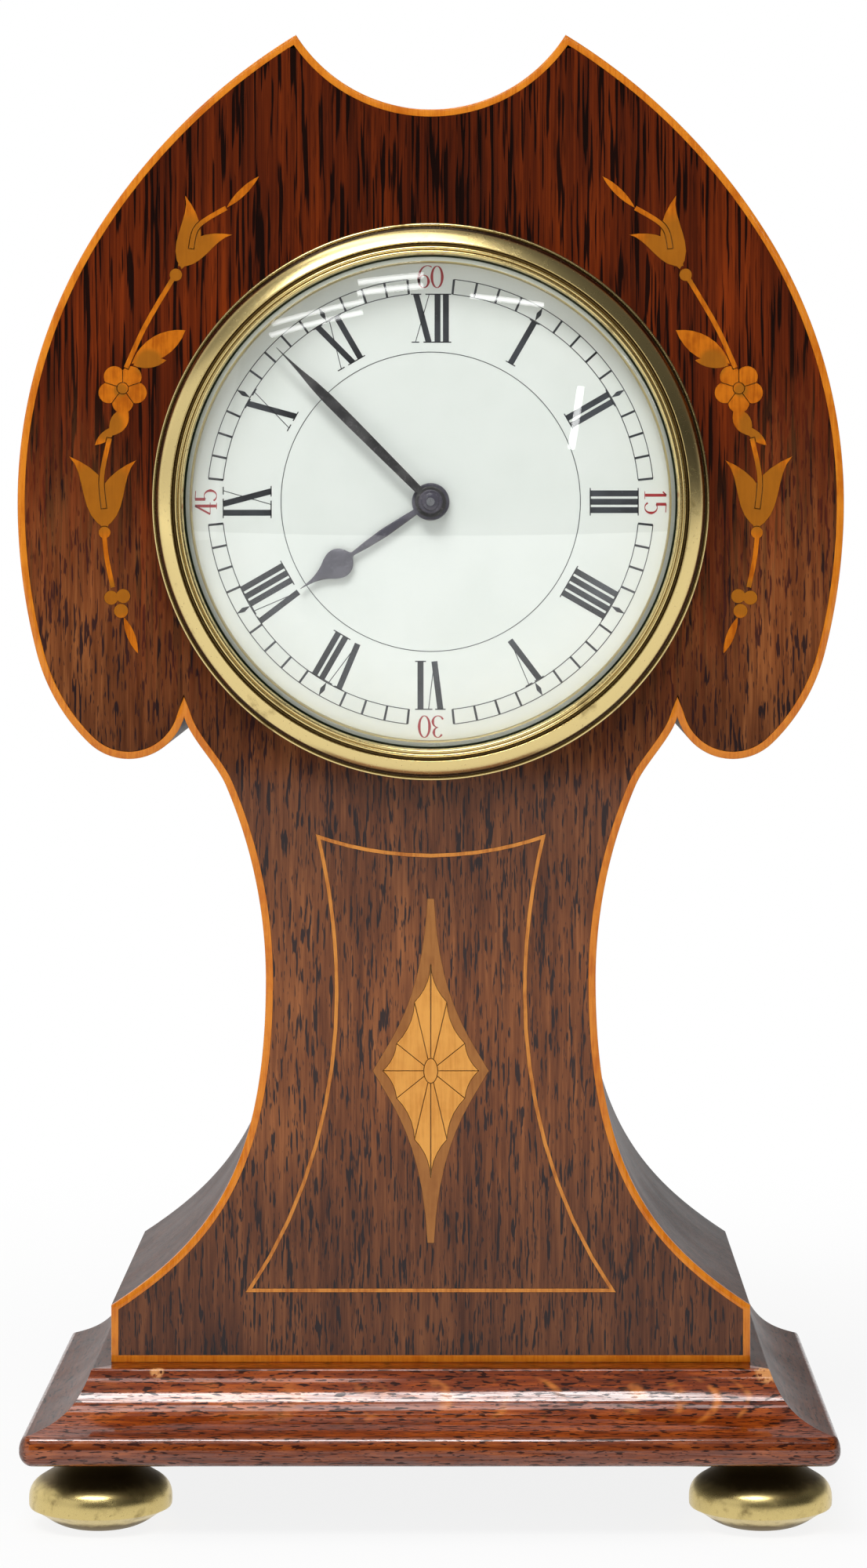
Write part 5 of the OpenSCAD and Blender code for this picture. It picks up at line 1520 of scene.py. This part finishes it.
class Works:
    """Everything that keeps its CAD shape: inlay, boards, drum, door and movement."""

    nodes: dict[str, tuple[str, ...]] = {
        "face": ("front_veneer",),
        "panel": ("panel_stringing",),
        "spray": ("left_spray", "right_spray"),
        "border": ("patera_border",),
        "fan": ("patera_fan",),
        "back": ("back_board",),
        "pine": ("front_board", "base_board"),
        "plinth": ("plinth_core",),
        "drum": ("drum", "rear_bezel", "back_door", "set_knob", "winding_key"),
        "train": ("hour_wheel", "minute_wheel", "front_plate", "back_plate", "barrel", "barrel_cover",
                  "intermediate_wheel", "centre_wheel", "third_wheel", "fourth_wheel", "escape_wheel",
                  "escapement_cock", "balance_wheel", "balance_cock"),
        "steel": ("set_arbor", "movement_screws", "barrel_arbor", "ratchet_wheel", "click", "pallet_lever",
                  "regulator_index", "ring_screws", "door_hinge_pin", "plinth_screws"),
        "blue": ("mainspring", "click_spring", "hairspring"),
    }

    def build(self, finishes: Finishes) -> None:
        """Give each CAD node its finish in every material slot.

        Args:
            finishes: every finish by its name.
        """
        for finish, names in self.nodes.items():
            for name in names:
                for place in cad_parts[name].material_slots:
                    place.material = finishes[finish]
                LOG.info("%s: CAD node with finish %s", name, finish)


@dataclass(frozen=True)
class Lamp:
    """A rectangular soft lamp: its place and size in metres, its watts and the degrees it leans."""

    name: str
    at: Point
    size: tuple[float, float]
    watts: float
    lean: float = 0.0
    aim: Point = (0.0, 0.0, 0.17)

    def hang(self) -> None:
        """Hang the lamp so that it faces its aim, which is the middle of the clock."""
        data = bpy.data.lights.new(self.name, "AREA")
        data.shape = "RECTANGLE"
        data.size, data.size_y = self.size
        data.energy = self.watts
        lamp = bpy.data.objects.new(self.name, data)
        lamp.location = self.at
        facing = (Vector(self.aim) - Vector(self.at)).to_track_quat("-Z", "Y")
        lamp.rotation_euler = (facing @ Quaternion((0, 0, 1), math.radians(self.lean))).to_euler()
        bpy.context.scene.collection.objects.link(lamp)


@dataclass
class Studio:
    """Floor, lamps, world and camera."""

    eye: Point = (8.6, -832.0, DIAL_Z)
    lens: float = 100.7
    shift: tuple[float, float] = (-0.0283, -0.18)
    floor_front: float = -2.2
    floor_back: float = 6.0
    floor_half: float = 5.0
    plain_level: float = 0.36
    pool: tuple[float, float] = (90.0, 420.0)

    def floor(self) -> None:
        """Lay a plain pale floor, which the camera sees whiter the further it is from the clock."""
        low, high = self.floor_front, self.floor_back
        wide = self.floor_half
        rows = np.array((((-wide, low, 0), (wide, low, 0)), ((-wide, high, 0), (wide, high, 0)))) / MM
        floor = Skin().grid(rows).piece("floor")
        material, bench = new_finish("pale_floor")
        seen = bench.sight()
        away = bench.node("ShaderNodeVectorMath", {"operation": "LENGTH"}, {0: bench.place()}, "Value")
        share = away.step(self.pool[0], self.pool[1], 0.86, 1.0)
        lit = bench.polish({"Base Color": (0.9, 0.9, 0.9, 1), "Roughness": 0.9, "Specular IOR Level": 0.1})
        glow = bench.node("ShaderNodeEmission", {}, {"Color": (1, 1, 1, 1), "Strength": 1.0})
        bench.close(bench.node("ShaderNodeMixShader", {}, {0: seen * share, 1: lit, 2: glow}))
        floor.data.materials.append(material)

    def world(self) -> None:
        """Light all round: white to the eye and through glass, and a plain level for light.

        In reflections it is white behind the clock, dim in front, and darker at the upper right.
        """
        world = bpy.data.worlds.new("studio")
        world.use_nodes = True
        bpy.context.scene.world = world
        bench = Bench(world.node_tree)
        way = bench.node("ShaderNodeTexCoord", output="Generated")
        side = bench.part(way, 0)
        deep = bench.part(way, 1)
        rise = bench.part(way, 2)
        back = deep.step(-0.12, 0.3)
        flag = side.step(-0.02, 0.14) * rise.step(0.0, 0.3)
        left = (0 - side).step(0.15, 0.6) * rise.step(0.5, 0.4) * 0.12
        above = rise.step(0.12, 0.5) * (0.18 - 0.13 * side.step(0.0, 0.5))
        front = left + above + 0.04
        room = back * (1 - flag * 0.85) + (1 - back) * front
        glossy = bench.node("ShaderNodeLightPath", output="Is Glossy Ray")
        seen = bench.sight()
        shown = glossy * room + (1 - glossy)
        level = seen * shown + (1 - seen) * self.plain_level
        shader = bench.node("ShaderNodeBackground", {}, {"Color": (1, 1, 1, 1), "Strength": level})
        bench.close(shader, "ShaderNodeOutputWorld")

    def lamps(self) -> None:
        """Hang the lamps: a soft box above, a panel at the left, and small ones that show in the glass."""
        hung = [Lamp("soft_box", (-0.29, -0.95, 1.45), (0.95, 0.42), 17.0),
                Lamp("left_panel", (-1.5, -0.8, 0.5), (2.1, 1.15), 4.6),
                Lamp("ceiling_panel", (-0.25, -0.3, 1.5), (1.0, 0.3), 3.2)]
        for place, drop in enumerate((0.0, 0.06)):
            hung += [Lamp(f"window_{place}", (-0.2, -1.6, 1.2 - drop), (0.3, 0.024), 0.16, 8),
                     Lamp(f"left_tube_{place}", (-0.54, -1.63, 1.06 - drop), (0.44, 0.02), 0.18, 17)]
        hung += [Lamp("right_tube", (0.33, -1.63, 1.105), (0.34, 0.02), 0.18, -9),
                 Lamp("right_strip", (0.615, -1.63, 0.55), (0.03, 0.28), 0.2, -12)]
        for lamp in hung:
            lamp.hang()

    def camera(self) -> None:
        """Set the camera square to the front, with the shift that the picture's framing needs."""
        data = bpy.data.cameras.new("camera")
        data.lens = self.lens
        data.sensor_width = 36
        data.shift_x, data.shift_y = self.shift
        data.clip_start = 0.05
        eye = bpy.data.objects.new("camera", data)
        eye.location = Vector(self.eye) * MM
        eye.rotation_euler = (math.pi / 2, 0, 0)
        bpy.context.scene.collection.objects.link(eye)
        bpy.context.scene.camera = eye

    def build(self) -> None:
        """Set up everything round the clock."""
        self.camera()
        self.floor()
        self.world()
        self.lamps()
        bpy.context.scene.view_settings.view_transform = "Standard"


def make_finishes() -> Finishes:
    """Make every finish once.

    Returns:
        The materials, by the name that the pieces use.
    """
    head = WoodFigure(tint(126, 48, 9), tint(92, 32, 6), tint(58, 19, 4), tint(18, 5, 2),
                      pore_run=16.0, pore_gap=0.6, pore_edge=0.55, short_share=0.45)
    # The trunk's paler, greyer tones and grey pores are partly the wood and partly painted reflection haze.
    trunk = WoodFigure(tint(152, 92, 49), tint(118, 67, 35), tint(86, 45, 23), tint(40, 29, 29),
                       pore_run=4.6, pore_gap=0.46, pore_edge=0.575)
    plinth = WoodFigure(tint(176, 84, 18), tint(126, 51, 7), tint(80, 27, 3), tint(40, 11, 2),
                        pore_run=2.2, pore_gap=0.42, pore_edge=0.57, grain=Grain.ACROSS)
    # The bead's figure is the plinth's figure made darker, as painted shade on the bead.
    bead = WoodFigure(tint(160, 80, 24), tint(120, 52, 12), tint(82, 30, 5), tint(46, 14, 4),
                      pore_run=2.2, pore_gap=0.42, pore_edge=0.585, grain=Grain.ACROSS)
    side = WoodFigure(tint(96, 56, 36), tint(72, 40, 26), tint(52, 28, 18), tint(28, 17, 14),
                      pore_run=6.0, pore_gap=0.7, pore_edge=0.58)
    # The returns' figure is the plinth's oak made darker and greyer, as painted shade on the sides of the
    # moulding.
    returns = WoodFigure(tint(104, 56, 32), tint(80, 42, 24), tint(58, 29, 17), tint(30, 15, 10),
                         pore_run=3.0, pore_gap=0.6, pore_edge=0.6, grain=Grain.DEEP)
    pine = WoodFigure(tint(214, 178, 122), tint(198, 156, 100), tint(170, 126, 74), tint(140, 98, 56),
                      pore_run=14.0, pore_gap=1.2, pore_edge=0.68)
    gold = tint(228, 205, 142)
    chips = (Scar((-49.5, FACE_Y - 6, TRUNK_Z - 0.4), 1.5), Scar((61.0, FACE_Y - 6, TRUNK_Z - 0.4), 2.6))
    burnt = ((60.3, 1.0, 8.5), (57.2, -17.6, 4.4), (45.2, 45.6, 8.5), (56.6, 20.3, 1.5), (51.4, 25.2, 3.2),
             (59.0, 14.0, 3.6))
    cups = tuple(Scar((sign * x, FACE_Y, DIAL_Z + z), r) for sign in (-1, 1) for x, z, r in burnt)
    cove_z = PLINTH_Z + 10.5
    makers = {
        "face": FaceVeneer("face_oak", head, trunk),
        "side": PolishedWood("side_oak", side, coat=0.1, coat_rough=0.18),
        "back": PolishedWood("back_oak", side, coat=0.3, rough=0.5),
        "plinth": PolishedWood("plinth_oak", plinth, rough=0.36, scars=chips, coat_ior=1.7, rings=0.7,
                               ring_z=cove_z),
        # The bead's sides beyond 71.9 mm and its underside are darkened as painted shade.
        "bead": PolishedWood("bead_oak", bead, rough=0.36, coat_ior=1.7, side_from=71.9, under_z=PLINTH_Z),
        "return": PolishedWood("return_oak", returns, coat=0.1, rough=0.36, coat_rough=0.18),
        "pine": PolishedWood("bare_pine", pine, coat=0.0, rough=0.6),
        "string": Boxwood("string_boxwood", tint(214, 128, 32), tint(188, 98, 16)),
        "panel": Boxwood("panel_boxwood", tint(206, 132, 52), tint(166, 94, 30)),
        "spray": Boxwood("spray_boxwood", tint(202, 112, 18), tint(164, 82, 8), cloud=4.0, scorched=cups),
        "border": Boxwood("border_boxwood", tint(160, 103, 46), tint(142, 86, 34)),
        "fan": Boxwood("fan_boxwood", tint(224, 157, 70), tint(205, 136, 53)),
        # The bezel's two darker rings are painted shade in its outer groove and its hollow.
        "bezel": Brass("bezel_brass", gold, tint(158, 136, 86), patina=0.4, rough=0.24, cell=9.0, soft=0.16,
                       rings=((49.4, 50.2, tint(112, 98, 70)), (46.3, 46.86, tint(140, 120, 80)))),
        # The slip's pale grey-green is painted shade: it stands in for the dial's edge in shade seen through
        # the rim of the glass. Its dark green ring is the glass's edge painted dark, and its narrow gold ring
        # is the slip's own gilt.
        "gilt": Brass("gilt_brass", tint(214, 216, 204), tint(180, 180, 160), patina=0.3, rough=0.3,
                      rings=((44.4, 46.0, tint(40, 52, 36)), (43.0, 43.65, tint(190, 172, 122)))),
        # The foot's bright band is partly rubbed brass and partly a painted highlight; its dull bowl and
        # shoulder are partly tarnish and partly painted shade.
        "foot": Brass("foot_brass", tint(214, 192, 128), tint(106, 88, 54), patina=0.7, rough=0.28, cell=3.0,
                      soft=0.4, rubbed=(0.155 * PLINTH_Z, 0.6 * PLINTH_Z)),
        "drum": Brass("drum_brass", tint(216, 188, 122), tint(160, 130, 78), patina=0.3, rough=0.3,
                      cell=14.0, soft=0.3, spun=True),
        "train": Brass("train_brass", tint(230, 200, 130), tint(184, 152, 92), patina=0.2, rough=0.26),
        "steel": Steel("bright_steel", tint(200, 200, 204), tint(150, 150, 156)),
        "blue": Steel("blued_steel", tint(62, 76, 138), tint(36, 44, 92), rough=0.24),
        "minute": HandBlack("minute_black", tint(46, 45, 46), tint(110, 108, 108)),
        "hour": HandBlack("hour_grey", tint(78, 76, 86), tint(128, 126, 136)),
        "collet": HandBlack("collet_grey", tint(70, 67, 78), tint(136, 132, 138)),
        "enamel": Enamel("white_enamel", tint(238, 243, 238), tint(230, 236, 230)),
        "ink": Enamel("black_ink", tint(16, 18, 23), tint(84, 88, 95), rough=0.4, coat=0.1, specks=0.6),
        "red": Enamel("red_ink", tint(168, 48, 52), tint(150, 40, 46), rough=0.3, coat=0.1),
        "glass": ClearGlass("clear_glass"),
    }
    return {name: maker.material() for name, maker in makers.items()}


def main() -> None:
    """Build the clock in order."""
    logging.basicConfig(level=logging.INFO, format="%(message)s")
    Studio().build()
    finishes = make_finishes()
    Case().build(finishes)
    Plinth().build(finishes)
    Bezel().build(finishes)
    Dial().build(finishes)
    Hands().build(finishes)
    DoorRelief().build(finishes)
    Works().build(finishes)


if __name__ == "__main__":
    main()
